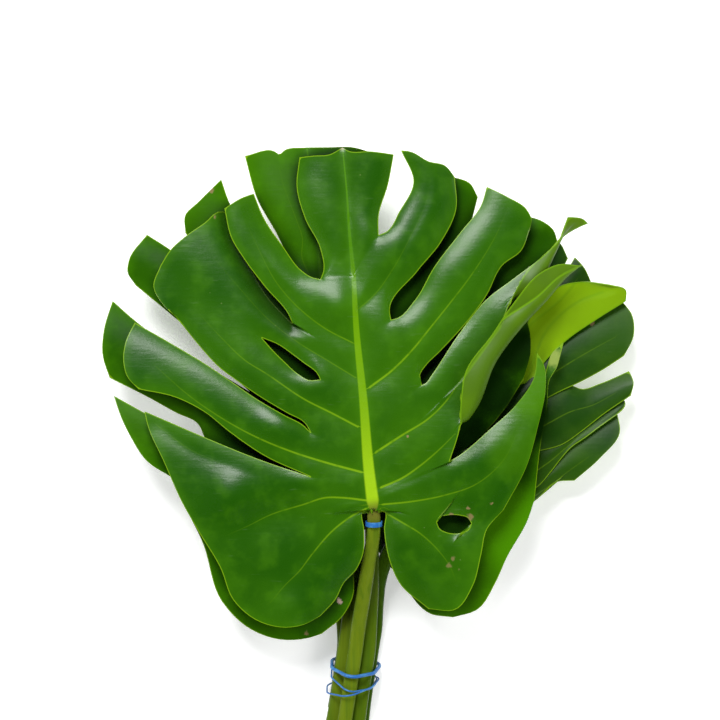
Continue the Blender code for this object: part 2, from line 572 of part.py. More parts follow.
def add_stem_band(finish, home):
    """The flat band round the top of the front petiole: a turned ring with square edges."""
    route = through(petiole_route("front"), 400)
    k = int(np.abs(route[:, 1] - STEM_BAND_Y).argmin())
    along = route[k + 1] - route[k - 1]
    inner = PETIOLE_TOP_RADIUS + 2 * SEAT_GAP
    half = STEM_BAND_WIDTH / 2
    profile = [(inner, half), (inner + STEM_BAND_WALL, half),
               (inner + STEM_BAND_WALL, -half), (inner, -half)]
    mesh = bpy.data.meshes.new("stem_band")
    mesh.from_pydata([(x * MM, 0.0, z * MM) for x, z in profile], [(0, 1), (1, 2), (2, 3), (3, 0)], [])
    mesh.materials.append(finish)
    band = bpy.data.objects.new("stem_band", mesh)
    home.objects.link(band)
    turn = band.modifiers.new("turned", "SCREW")
    turn.steps = turn.render_steps = STEM_BAND_SIDES
    turn.use_merge_vertices = True
    turn.merge_threshold = 0.00001
    x, y, z = route[k]
    band.location = ((x + ORIGIN_SHIFT[0]) * MM, (y + ORIGIN_SHIFT[1]) * MM, z * MM)
    band.rotation_euler = Vector(along).to_track_quat("Z", "Y").to_euler()
    return band


def main():
    """Build the bunch."""
    for old in list(bpy.data.objects):
        bpy.data.objects.remove(old, do_unlink=True)
    bunch = bpy.data.collections.new("monstera_bunch")
    bpy.context.scene.collection.children.link(bunch)
    leaves = {"front": FRONT_LEAF, "second": SECOND_LEAF, "right": RIGHT_LEAF, "left": LEFT_LEAF,
              "lowest": LOWEST_LEAF}
    green = material("blade_green", (0.03, 0.17, 0.01), 0.3)
    olive = material("petiole_olive", (0.09, 0.16, 0.01), 0.45)
    blue = material("rubber_blue", (0.02, 0.12, 0.5), 0.5)
    for name, leaf in leaves.items():
        add_blade(name + "_leaf", leaf, green, bunch)
        add_petiole(name, olive, bunch)
    everyone = list(leaves)
    thick = band_loop(BUNDLE_Y, BAND_CLEARANCE + THICK_BAND_RADIUS, everyone, -0.3, -0.1)
    add_band("thick_band", thick, THICK_BAND_RADIUS, blue, bunch)
    thin = band_loop(BUNDLE_Y - 8.5, BAND_CLEARANCE + THIN_BAND_RADIUS, everyone, -0.45, -0.25)
    add_band("thin_band", thin, THIN_BAND_RADIUS, blue, bunch)
    loose = band_loop(BUNDLE_Y - 14, BAND_CLEARANCE + SEAT_GAP + 3 * THIN_BAND_RADIUS, everyone, -0.25, 0.15)
    add_band("loose_band", loose, THIN_BAND_RADIUS, blue, bunch)
    add_stem_band(blue, bunch)


main()
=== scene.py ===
"""A tied bunch of five cut monstera leaves: its looks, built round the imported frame.

Lengths are in millimetres in the classes and become metres where a mesh is made. Plan
coordinates start where the front leaf's stalk meets its blade, with +Y towards the tips.
"""

import logging
import math
from dataclasses import dataclass, field
from enum import Enum

import bpy
import numpy as np
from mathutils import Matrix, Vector


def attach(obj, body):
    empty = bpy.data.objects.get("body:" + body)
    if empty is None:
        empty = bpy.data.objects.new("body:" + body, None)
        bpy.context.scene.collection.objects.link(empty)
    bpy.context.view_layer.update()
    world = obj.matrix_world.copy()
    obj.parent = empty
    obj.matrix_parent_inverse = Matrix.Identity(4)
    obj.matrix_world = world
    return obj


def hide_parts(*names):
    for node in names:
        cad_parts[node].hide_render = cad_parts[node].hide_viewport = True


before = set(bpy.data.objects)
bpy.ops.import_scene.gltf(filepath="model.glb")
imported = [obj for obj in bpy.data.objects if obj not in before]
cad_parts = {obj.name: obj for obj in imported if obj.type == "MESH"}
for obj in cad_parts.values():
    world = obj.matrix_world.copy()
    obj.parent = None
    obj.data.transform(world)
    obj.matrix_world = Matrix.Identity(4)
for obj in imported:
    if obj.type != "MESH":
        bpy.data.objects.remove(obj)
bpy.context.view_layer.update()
LOG = logging.getLogger("monstera")

Array = np.ndarray
Point = tuple[float, float]
Colour = tuple[float, float, float]

MM = 0.001
FAR = 1000.0
CREASE = math.radians(50.0)
ORIGIN_SHIFT = (3.4, 2.9)
BODY = "root"


class Layer(Enum):
    """A leaf's place in the stack: the height of its foot above the floor."""

    FRONT = 66.0
    SECOND = 52.0
    RIGHT = 39.0
    LEFT = 24.5
    LOWEST = 13.0


class Slot(Enum):
    """The record's material slots."""

    LEAF = "leaf_green"
    STALK = "petiole_olive"
    BAND = "rubber_blue"


class Face(Enum):
    """The order of a blade's finishes on its mesh."""

    TOP = 0
    UNDER = 1
    RIM = 2


@dataclass(frozen=True)
class Cut:
    """The line between two neighbouring lobes, from the midrib out to the margin.

    A tuck bends the side before it down under its neighbour, and a curl lets the sides fall away.
    """

    station: int
    seam: list[Point] = field(default_factory=list)
    before: list[Point] = field(default_factory=list)
    after: list[Point] = field(default_factory=list)
    rejoin: list[Point] = field(default_factory=list)
    rise: Point = (0.0, 0.0)
    tuck: float = 0.0
    curl: float = 1.0


@dataclass(frozen=True)
class Lobe:
    """One lobe between two cuts, with its outer margin and its bend."""

    margin: list[Point]
    columns: int = 3
    arch: float = 0.0
    crest: list[Point] = field(default_factory=list)
    crest_rows: Point = (0.0, 1.0)


@dataclass(frozen=True)
class Vein:
    """A side vein: its line in plan, its depth at the foot and at the end, and its paleness."""

    line: list[Point]
    depth: Point = (1.0, 0.25)
    pale: Point = (1.0, 0.15)


@dataclass(frozen=True)
class Swell:
    """A soft bulge of a blade: its place in plan, its height and its radius."""

    place: Point
    height: float
    radius: float


@dataclass(frozen=True)
class LeafPlan:
    """A blade in plan: its midrib, its tip line, and cuts and lobes in turn round the outline.

    Where veins is empty, one vein runs up the middle of each lobe.
    """

    midrib: list[Point]
    tip: list[Point]
    parts: list[Cut | Lobe]
    layer: Layer
    lie: tuple[float, float, float, float] = (0.0, 0.0, 0.0, 1.0)
    veins: list[Vein] = field(default_factory=list)
    swells: list[Swell] = field(default_factory=list)


FRONT_LEAF = LeafPlan(
    midrib=[(0.5, -5), (-3, 24), (-7, 74), (-12, 125), (-14, 164)],
    tip=[(-17, 195), (-19, 225), (-22, 256)],
    layer=Layer.FRONT,
    veins=[
        Vein([(-14, 115), (-35, 126), (-53, 140), (-69, 158), (-82, 182), (-94, 208)], pale=(0.55, 0.0)),
        Vein([(-12, 90), (-35, 104), (-53, 115), (-74, 131), (-98, 157), (-122, 186)], pale=(0.4, 0.0)),
        Vein([(-11, 55), (-30, 65), (-48, 74), (-78, 94), (-91, 102), (-109, 119), (-130, 142)],
             pale=(1.0, 0.0)),
        Vein([(-7, 22), (-33, 29), (-61, 38), (-89, 50), (-107, 60), (-132, 77), (-157, 99)],
             pale=(1.2, 0.1)),
        Vein([(-5, 2), (-23, 4), (-34, 4), (-50, -1), (-75, -9), (-89, -16), (-107, -24)],
             pale=(1.1, 0.0)),
        Vein([(-5, -4), (-13, -8), (-27, -18), (-44, -37), (-53, -49), (-64, -60), (-74, -72)],
             pale=(1.0, 0.1)),
        Vein([(-86, 21), (-110, 29), (-131, 38), (-156, 56)], depth=(0.4, 0.9), pale=(0.0, 0.2)),
        Vein([(-10, 140), (1, 150), (14, 168), (27, 192), (38, 216), (42, 236)], pale=(0.3, 0.0)),
        Vein([(-3, 83), (13, 95), (28, 110), (41, 126), (53, 141), (72, 166), (88, 192), (98, 214)],
             pale=(1.1, 0.0)),
        Vein([(1, 36), (21, 49), (40, 61), (53, 74), (60, 84), (76, 106), (92, 128)],
             pale=(1.2, 0.0)),
        Vein([(5, 11), (21, 18), (34, 27), (48, 39), (59, 50)], depth=(1.0, 0.1), pale=(1.2, 0.3)),
        Vein([(6, -1), (27, 1), (53, 6), (73, 13), (93, 30), (106, 56)], pale=(0.9, 0.0)),
        Vein([(7, -6), (21, -14), (34, -22), (44, -31), (55, -45), (61, -60)], pale=(0.9, 0.0)),
    ],
    swells=[
        Swell((-4, 262), 5.0, 45), Swell((-150, 190), 5.0, 45), Swell((-102, 6), 4.5, 18),
        Swell((-55, -80), 4.5, 17), Swell((-23, 144), 3.5, 14), Swell((-44, 92), 2.5, 13),
        Swell((-68, 56), 3.0, 13),
    ],
    parts=[
        Cut(0, after=[(-7, -6), (-6.5, -19), (-7.5, -38), (-12, -48), (-21, -58), (-27, -70), (-38, -82)],
            rise=(0, -3)),
        Lobe([(-50, -88), (-66, -90), (-84, -85), (-101, -70), (-110, -47), (-125, -22)], 4, 5),
        Cut(0, seam=[(-50, -11), (-89, -19), (-125, -22)], rise=(-2, -2)),
        Lobe([(-138, 1), (-151, 30), (-163, 57), (-165, 66)], 4, 4),
        Cut(2, [(-45, 19)], [(-78, 30), (-123, 48), (-144, 57), (-165, 66)],
            [(-78, 34), (-103, 51), (-122, 66), (-142, 76), (-169, 82)], rise=(-5, 2), curl=0.3),
        Lobe([(-177, 91), (-180, 104), (-178, 117), (-172, 130)], 3, 4),
        Cut(4, [(-45, 51)], [(-50, 56), (-63, 63), (-83, 74.5), (-102, 87.5), (-119, 99), (-144, 114),
                             (-172, 130)],
            [(-49, 57.5), (-62, 65), (-82, 77), (-100, 89.5), (-110, 97), (-125, 113), (-141, 133)],
            rise=(-3, 3)),
        Lobe([(-151, 143), (-158, 156), (-153, 171)], 3, 3),
        Cut(7, [(-38, 89)], [(-46, 88.5), (-54, 93), (-64, 102), (-73.5, 111.5), (-80, 119)],
            [(-40, 93), (-50, 101), (-58, 107), (-68, 114), (-80, 119)],
            rejoin=[(-109, 143), (-135, 161), (-153, 171)]),
        Lobe([(-146, 182), (-135, 192), (-121, 202), (-111, 210)], 3, 3),
        Cut(10, [(-58, 129)], [(-62, 133), (-78, 151), (-89, 171), (-97, 189), (-102, 209)],
            [(-60, 134), (-78, 156), (-93, 176), (-102, 191), (-107, 212)], rise=(-4, 4), tuck=4.0),
        Lobe([(-104, 214), (-94, 220), (-86, 223)], 6, 3),
        Cut(16, [(-38, 161)], [(-45, 163), (-51, 167), (-65, 185), (-79, 206), (-86, 223)],
            [(-36, 166), (-38, 183), (-49, 205), (-55, 228), (-53, 249)], rise=(-2, 2)),
        Lobe([(-43, 250), (-31, 251), (-22, 256)], 3, 3),
        Cut(16, seam=[(-17, 195), (-19, 225), (-22, 256)]),
        Lobe([(-19, 254), (-1, 253), (15, 251)], 3, 3),
        Cut(16, [(4, 193)], [(4, 206), (11, 230), (15, 251)],
            [(9, 195), (19, 210), (29, 231), (20, 254)], rise=(1, 1)),
        Lobe([(27, 253), (40, 246), (52, 243), (59, 235)], 5, 4),
        Cut(11, [(13, 132)], [(12, 138), (32, 167), (49, 188), (60, 212), (59, 235)],
            [(17, 133), (30, 146), (44, 170), (63, 195), (78, 215), (82, 228)], rise=(-2, 2)),
        Lobe([(96, 221), (111, 211), (114, 205), (113, 197)], 5, 4),
        Cut(6, [(35, 85)], [(33.5, 88), (34, 93), (38, 99), (48, 109), (82, 150), (93, 171),
                            (107, 182), (113, 197)],
            [(37.5, 86), (42, 92), (62, 122), (80, 145), (103, 163), (126, 181), (136, 192),
             (148, 199), (155, 202)], rise=(2, 1)),
        Lobe([(151, 205), (145, 206), (140, 206)], 6, 0,
             crest=[(102, 139), (117, 155), (124, 166), (130, 178), (136, 191), (142, 203)],
             crest_rows=(0.55, 0.9)),
        Cut(3, [(48, 73), (77, 105), (94, 133)],
            [(100, 148), (112, 168), (122, 178), (134, 190), (137, 198), (140, 206)],
            [(117, 148), (135, 164), (149, 171)], rise=(6, 2)),
        Lobe([(150, 171), (150, 172)], 8, 0,
             crest=[(63, 52), (75, 71), (87, 101), (103, 123), (126, 148), (138, 162), (149, 171)],
             crest_rows=(0.28, 1.01)),
        Cut(1, [(55, 30)],
            [(62, 53), (63, 74), (66, 94), (85, 121), (100, 143), (122, 167), (134, 172), (149, 171)],
            [(60, 33), (84, 53), (104, 72), (116, 91), (118, 108)], rise=(3, 4)),
        Lobe([(123, 99), (124, 85), (118, 53), (111, 28), (94, -5)], 4, 4),
        Cut(0, [(24, -7), (46, -14)], [(47.5, -10.5), (53, -9), (62, -9), (68.5, -11), (71, -15)],
            [(48, -18.5), (54, -21.5), (62, -22), (69, -19), (71, -15)],
            rejoin=[(83, -9), (94, -5)]),
        Lobe([(82, -19), (78, -37), (72, -60), (60, -77), (40, -77)], 4, 5),
        Cut(0, [], [(8, -6), (8, -19), (12, -42), (19, -58), (40, -77)], rise=(-3, 0)),
    ],
)


SECOND_LEAF = LeafPlan(
    midrib=[(-1, -17), (-9, 24), (-19, 74), (-30, 125), (-37, 164)],
    tip=[(-42, 211), (-48, 257)],
    layer=Layer.SECOND,
    parts=[
        Cut(0, after=[(-9, -19), (-14, -41), (-15, -70), (-22, -83), (-37, -96)], rise=(0, -4)),
        Lobe([(-47, -99), (-67, -100), (-91, -91), (-109, -73), (-124, -28), (-136, -4)], 5, 5),
        Cut(1, [(-80, 8)], [(-103, 7), (-136, -4)], [(-107, 14), (-146, 18)], rise=(-4, -1)),
        Lobe([(-164, 30), (-176, 48), (-182, 60), (-188, 77)], 3, 3),
        Cut(3, [(-80, 33), (-122, 47)], [(-140, 51), (-168, 66), (-188, 77)],
            [(-126, 56), (-143, 65), (-161, 75), (-191, 90)], rise=(-2, 0)),
        Lobe([(-196, 107), (-195, 125), (-189, 146)], 3, 3),
        Cut(6, [(-89, 80)], [(-121, 99), (-150, 115), (-173, 132), (-189, 146)],
            [(-104, 94), (-121, 114), (-144, 134), (-172, 157)], rise=(-2, -1)),
        Lobe([(-178, 167), (-177, 175), (-164, 194)], 3, 3),
        Cut(9, [(-80, 127)], [(-99, 143), (-125, 164), (-147, 183), (-164, 194)],
            [(-92, 145), (-114, 168), (-136, 195)], rise=(-3, 0)),
        Lobe([(-136, 208), (-127, 217), (-110, 234)], 3, 2),
        Cut(12, [(-63, 155)], [(-80, 174), (-92, 195), (-104, 217), (-110, 234)],
            [(-60, 171), (-68, 191), (-84, 220), (-93, 251)], rise=(-3, 0)),
        Lobe([(-71, 254), (-68, 252), (-64, 255), (-48, 257)], 4, 2),
        Cut(16, seam=[(-42, 211), (-48, 257)]),
        Lobe([(-31, 257), (-15, 257), (0, 253)], 3, 2),
        Cut(16, [(-15, 172)], [(-9, 189), (-3, 222), (0, 253)],
            [(-2, 174), (19, 189), (32, 211), (42, 235)]),
        Lobe([(59, 235), (70, 231), (76, 221)], 4, 2),
        Cut(12, [(19, 121)], [(32, 139), (52, 168), (70, 200), (76, 221)],
            [(37, 133), (63, 161), (91, 193), (113, 207)]),
        Lobe([(122, 204), (131, 197), (134, 189)], 4, 2),
        Cut(8, [(55, 78)], [(73, 99), (97, 128), (119, 159), (134, 189)],
            [(70, 85), (89, 110), (109, 138)], rise=(-2, -3)),
        Lobe([(113, 126), (114, 110), (109, 89)], 4, 2),
        Cut(4, [(64, 37)], [(78, 48), (95, 67), (109, 89)],
            [(88, 50), (115, 76), (123, 88), (126, 98), (129, 107), (138, 116)], rise=(-3, 0)),
        Lobe([(135, 105), (133, 98), (128, 90), (126, 71), (121, 40), (117, 2)], 4, 4),
        Cut(0, seam=[(34, -10), (77, -6), (117, 2)], rise=(-1, -1)),
        Lobe([(112, -13), (97, -40), (89, -58), (76, -78), (58, -84)], 4, 4),
        Cut(0, [], [(8, -19), (16, -41), (27, -67), (41, -81), (58, -84)], rise=(-3, 0)),
    ],
)

RIGHT_LEAF = LeafPlan(
    midrib=[(37, 8), (48, 53), (67, 103), (86, 143)],
    tip=[(100, 171), (113, 195)],
    layer=Layer.RIGHT,
    parts=[
        Cut(0, after=[(28, 8), (14, -6), (2, -14)], rise=(0, -2)),
        Lobe([(-12, -14), (-24, -2), (-27, 17)], 4, 3),
        Cut(4, [(14, 37)], [(-6, 27), (-27, 17)], [(-2, 48), (-24, 53)], rise=(-2, -2)),
        Lobe([(-31, 74), (-20, 103)], 4, 3),
        Cut(8, [(28, 80)], [(5, 92), (-20, 103)], [(19, 110), (1, 128)], rise=(-2, -2)),
        Lobe([(1, 153), (23, 168)], 4, 2),
        Cut(12, [(53, 125)], [(37, 146), (23, 168)], [(55, 153), (48, 182)], rise=(-2, -2)),
        Lobe([(70, 195), (91, 199), (113, 195)], 4, 2),
        Cut(16, seam=[(100, 171), (113, 195)]),
        Lobe([(124, 192), (135, 189), (142, 177)], 2, 2),
        Cut(16, [(106, 132)], [(120, 150), (136, 166), (142, 177)],
            [(121, 147), (133, 158), (141, 168), (147, 178)]),
        Lobe([(154, 170), (159, 160)], 3, 2),
        Cut(13, [(90, 102)], [(113, 117), (138, 135), (159, 160)],
            [(100, 96), (108, 74), (124, 101), (140, 117), (163, 133), (184, 146)], rise=(-3, 3)),
        Lobe([(184, 154), (172, 158)], 6, -3),
        Cut(9, [(81, 60)], [(92, 70), (102, 88), (111, 113), (113, 133), (124, 148), (134, 156),
                            (153, 160), (172, 158)],
            [(95, 78), (112, 98), (135, 119), (160, 137), (181, 147)], rise=(9, -5)),
        Lobe([(189, 136), (190, 121), (183, 106)], 5, 2),
        Cut(7, [(84, 42)], [(106, 62), (130, 77), (153, 88), (166, 95), (183, 106)],
            [(104, 57), (128, 79), (143, 85), (152, 82), (166, 86), (187, 95)], rise=(1, -5)),
        Lobe([(190, 87), (188, 77)], 4, 2),
        Cut(5, [(84, 27)], [(102, 33), (122, 37), (137, 41), (152, 51), (166, 62), (188, 77)],
            [(102, 28), (122, 38), (142, 49), (163, 65), (182, 76)], rise=(1, -5)),
        Lobe([(184, 72), (179, 64)], 4, 1),
        Cut(2, [(84, 6)], [(119, 10), (130, 22), (137, 31), (144, 39), (154, 46), (166, 55), (179, 64)],
            [(108, 6), (128, 24), (145, 42), (166, 58), (178, 66)], rise=(1, -5)),
        Lobe([(180, 50), (166, 32), (147, 15)], 4, 2),
        Cut(0, [], [(44, 1), (42, -12), (64, -20), (91, -14), (119, 1), (134, 14), (147, 15)],
            rise=(-3, 0)),
    ],
)



def mirrored(half: list[Cut | Lobe]) -> list[Cut | Lobe]:
    """The mirror image of a half outline, in the order that goes on from its tip."""
    def across(points: list[Point]) -> list[Point]:
        return [(-x, y) for x, y in points]

    parts: list[Cut | Lobe] = []
    for cut, lobe in reversed(list(zip(half[0::2], half[1::2]))):
        parts.append(Lobe(across([*reversed(lobe.margin[:-1]), cut.after[-1]]), lobe.columns, lobe.arch))
        parts.append(Cut(cut.station, across(cut.seam), across(cut.after), across(cut.before),
                         rise=cut.rise[::-1]))
    return parts


HALF_LEAF = [
    Cut(0, after=[(-14, -5), (-22, -28), (-32, -56), (-46, -83)], rise=(0, 4)),
    Lobe([(-70, -92), (-101, -70), (-120, -30), (-130, -8)], 4, 2),
    Cut(1, [(-60, 5)], [(-95, 2), (-130, -8)], [(-100, 12), (-145, 14)], rise=(-3, -2)),
    Lobe([(-158, 35), (-165, 66)], 3, 3),
    Cut(4, [(-45, 40)], [(-90, 54), (-165, 66)], [(-100, 74), (-165, 92)], rise=(-3, -2)),
    Lobe([(-172, 110), (-165, 134)], 3, 3),
    Cut(8, [(-50, 84)], [(-100, 107), (-165, 134)], [(-95, 125), (-146, 164)], rise=(-3, -2)),
    Lobe([(-138, 190), (-118, 210)], 3, 3),
    Cut(12, [(-46, 138)], [(-80, 170), (-118, 210)], [(-66, 186), (-88, 228)], rise=(-3, -2)),
    Lobe([(-66, 246), (-38, 252)], 3, 3),
    Cut(16, [(-24, 178)], [(-32, 214), (-38, 252)], [(-16, 210), (-20, 254)], rise=(-2, -2)),
    Lobe([(-8, 258), (0, 262)], 2, 1),
]
PLAIN_LEAF = ([(0, -3), (0, 60), (0, 120), (0, 166)], [(0, 210), (0, 262)],
              [*HALF_LEAF, Cut(16, seam=[(0, 210), (0, 262)], rise=(-2, -2)), *mirrored(HALF_LEAF)])
LEFT_LEAF = LeafPlan(*PLAIN_LEAF, Layer.LEFT, (-12.0, -20.0, 14.0, 0.66))
LOWEST_LEAF = LeafPlan(*PLAIN_LEAF, Layer.LOWEST, (-20.0, -14.0, 14.0, 0.64))


@dataclass
class Surface:
    """A sheet of points and faces, with one value a point in each named field.

    Faces are rows of four point numbers; a triangle repeats its last one.
    """

    points: Array
    quads: Array
    fields: dict[str, Array] = field(default_factory=dict)

    def normals(self) -> Array:
        """A vector square to each face."""
        p, q = self.points, self.quads
        return np.cross(p[q[:, 2]] - p[q[:, 0]], p[q[:, 3]] - p[q[:, 1]])

    def edges(self) -> Array:
        """The edges of each face, as pairs of point numbers."""
        pairs = np.stack([self.quads, np.roll(self.quads, -1, axis=1)], axis=2).reshape(-1, 2)
        return pairs[pairs[:, 0] != pairs[:, 1]]


def unit(vectors: Array) -> Array:
    """The vectors at length one."""
    return vectors / np.maximum(np.linalg.norm(vectors, axis=-1, keepdims=True), 1e-12)


def upright(along: Array) -> tuple[Array, Array]:
    """The level axis and the upward axis square to each direction."""
    level = unit(np.cross(along, [0.0, 0.0, 1.0]))
    return level, np.cross(level, along)


def angles(count: int) -> Array:
    """Even angles round a circle."""
    return np.linspace(0.0, 2 * np.pi, count, endpoint=False)


def squared(wave: Array, power: float) -> Array:
    """A power of a wave that keeps its sign; under 1 it makes a circle squarer."""
    return np.sign(wave) * np.abs(wave) ** power


def runs(line: Array) -> Array:
    """How far along a polyline each of its points lies."""
    return np.concatenate([[0.0], np.cumsum(np.linalg.norm(np.diff(line, axis=0), axis=1))])


def flat(line: Array) -> Array:
    """A line in plan as points at height zero."""
    return np.column_stack([line, np.zeros(len(line))])


def hump(points: Array, place: Point, height: float, radius: float) -> Array:
    """How much a soft round hump adds to the height of each point."""
    return height * np.exp(-(np.linalg.norm(points[:, :2] - place, axis=1) / radius) ** 2)


def smooth(f: Array | float) -> Array:
    """A soft step from 0 to 1: 3f^2 - 2f^3."""
    f = np.clip(f, 0.0, 1.0)
    return f * f * (3 - 2 * f)


def resample(line: Array, segments: int) -> Array:
    """The same polyline with evenly spaced points.

    Args:
        line: Points, one a row.
        segments: Number of equal steps.

    Returns:
        segments + 1 points.
    """
    length = runs(line)
    at = np.linspace(0.0, length[-1], segments + 1)
    return np.stack([np.interp(at, length, line[:, k]) for k in range(line.shape[1])], axis=1)


def hermite(knot: Array, values: Array, at: Array) -> Array:
    """Reads a smooth curve whose slopes are weighted means of its chords' slopes.

    Args:
        knot: Rising parameter of each value.
        values: Points, or whole lines of points, one a knot.
        at: Parameters to read at.

    Returns:
        One value for each parameter.
    """
    step, shape = np.diff(knot), (-1,) + (1,) * (values.ndim - 1)
    slope = np.diff(values, axis=0) / step.reshape(shape)
    tangent = np.empty_like(values)
    tangent[0], tangent[-1] = slope[0], slope[-1]
    mix = (step[:-1] / (step[:-1] + step[1:])).reshape(shape)
    tangent[1:-1] = slope[:-1] * (1 - mix) + slope[1:] * mix
    i = np.clip(np.searchsorted(knot, at, side="right") - 1, 0, len(step) - 1)
    h = step[i].reshape(shape)
    u = ((at - knot[i]) / step[i]).reshape(shape)
    return (values[i] * (1 + 2 * u) * (1 - u) ** 2 + values[i + 1] * u * u * (3 - 2 * u)
            + tangent[i] * h * u * (1 - u) ** 2 - tangent[i + 1] * h * u * u * (1 - u))


def through(points: list, segments: int) -> Array:
    """Evenly spaced points on a smooth curve through the given points."""
    p = np.array(points, float)
    if len(p) == 2:
        f = np.linspace(0.0, 1.0, segments + 1)[:, None]
        return p[0] * (1 - f) + p[1] * f
    chord = np.maximum(np.linalg.norm(np.diff(p, axis=0), axis=1), 1e-9)
    knot = np.concatenate([[0.0], np.cumsum(chord)])
    return resample(hermite(knot, p, np.linspace(0.0, knot[-1], 40 * len(p))), segments)


def run_length(points: list) -> float:
    """Length of a polyline."""
    return float(np.sum(np.linalg.norm(np.diff(np.array(points, float), axis=0), axis=1)))


def placed(points: Array, lie: tuple[float, float, float, float]) -> Array:
    """Points scaled, turned and moved in plan: lie is x, y, degrees and scale."""
    turn = math.radians(lie[2])
    x, y = points[:, 0] * lie[3], points[:, 1] * lie[3]
    out = points.copy()
    out[:, 0] = lie[0] + x * math.cos(turn) - y * math.sin(turn)
    out[:, 1] = lie[1] + x * math.sin(turn) + y * math.cos(turn)
    return out


def dome(x: Array | float, y: Array | float) -> Array | float:
    """How far the bunch's rounded top drops: it falls with the square of the reach."""
    drop_per_mm2, centre = 0.00042, (-12.0, 105.0)
    reach = (x - centre[0]) ** 2 + (y - centre[1]) ** 2
    return drop_per_mm2 * (centre[0] ** 2 + centre[1] ** 2 - reach)


def ripple(x: Array, y: Array, seed: int) -> Array:
    """A soft random unevenness between about -1 and 1: sine waves in seeded directions."""
    waves, size = 7, 85.0
    draw = np.random.default_rng(seed)
    total = np.zeros_like(x)
    for _ in range(waves):
        turn, phase, stretch = draw.uniform(0, 2 * np.pi, 2).tolist() + [draw.uniform(0.7, 1.5)]
        total += np.sin(2 * np.pi * (x * math.cos(turn) + y * math.sin(turn)) / (size * stretch) + phase)
    return total / math.sqrt(waves)


def nearest(points: Array, line: Array) -> tuple[Array, Array, Array]:
    """Distance from each point to a polyline, in plan.

    Args:
        points: Points, of which x and y are read.
        line: The line's points.

    Returns:
        The distance, its sign (+1 to the left of the line), and the run along the line from 0 to 1.
    """
    start, step = line[:-1, :2], np.diff(line[:, :2], axis=0)
    square = np.maximum((step ** 2).sum(axis=1), 1e-12)
    distance, side, run = [], [], []
    for block in np.array_split(points[:, :2], max(1, len(points) // 2000)):
        off = block[:, None, :] - start[None, :, :]
        share = np.clip((off * step).sum(axis=2) / square, 0.0, 1.0)
        gap = np.linalg.norm(off - share[:, :, None] * step, axis=2)
        k = gap.argmin(axis=1)
        pick = np.arange(len(block))
        across = step[k, 0] * off[pick, k, 1] - step[k, 1] * off[pick, k, 0]
        distance.append(gap[pick, k])
        side.append(np.where(across >= 0, 1.0, -1.0))
        run.append((k + share[pick, k]) / len(step))
    return np.concatenate(distance), np.concatenate(side), np.concatenate(run)


def drawn(name: str, points: Array, faces: list, finishes: list, face_finish: Array | None = None,
          fields: dict[str, Array] | None = None) -> bpy.types.Object:
    """Makes a mesh object at the origin from points in millimetres.

    Args:
        name: The piece's name.
        points: Points in plan coordinates.
        faces: Lists of point numbers.
        finishes: Materials in slot order.
        face_finish: Slot of each face, or None for the first.
        fields: Values of each point, stored as attributes.

    Returns:
        The object, linked to the scene.
    """
    mesh = bpy.data.meshes.new(name)
    place = (points + [*ORIGIN_SHIFT, 0.0]) * MM
    mesh.from_pydata(place.tolist(), [], faces)
    for finish in finishes:
        mesh.materials.append(finish)
    if face_finish is not None:
        mesh.polygons.foreach_set("material_index", face_finish.astype(np.int32))
    for key, values in (fields or {}).items():
        mesh.attributes.new(key, "FLOAT", "POINT").data.foreach_set("value", values.astype(np.float32))
    mesh.shade_smooth()
    mesh.set_sharp_from_angle(angle=CREASE)
    mesh.update()
    piece = bpy.data.objects.new(name, mesh)
    bpy.context.scene.collection.objects.link(piece)
    return piece


def ring_quads(rings: int, sides: int, closed: bool) -> Array:
    """The faces between rings that follow each other, and back to the first one if closed."""
    k = np.arange(sides)
    first = np.arange(rings if closed else rings - 1)[:, None] * sides
    i, j, total = first + k, first + (k + 1) % sides, rings * sides
    return np.stack([i, (i + sides) % total, (j + sides) % total, j], axis=2).reshape(-1, 4)


def tube(route: Array, outline: Array) -> tuple[Array, list]:
    """Carries a closed outline along a route, kept upright, with a fan of triangles at each end.

    Args:
        route: Points of the middle line.
        outline: Ring points as (rings, points, 2): level and upward offsets.

    Returns:
        Points and faces.
    """
    level, up = upright(unit(np.gradient(route, axis=0)))
    rings = route[:, None, :] + outline[..., :1] * level[:, None, :] + outline[..., 1:] * up[:, None, :]
    n, m = rings.shape[:2]
    points = np.concatenate([rings.reshape(-1, 3), route[:1], route[-1:]])
    k = np.arange(m)
    after = (k + 1) % m
    start = np.stack([np.full(m, n * m), k, after], axis=1)
    end = np.stack([np.full(m, n * m + 1), (n - 1) * m + after, (n - 1) * m + k], axis=1)
    return points, ring_quads(n, m, False).tolist() + start.tolist() + end.tolist()


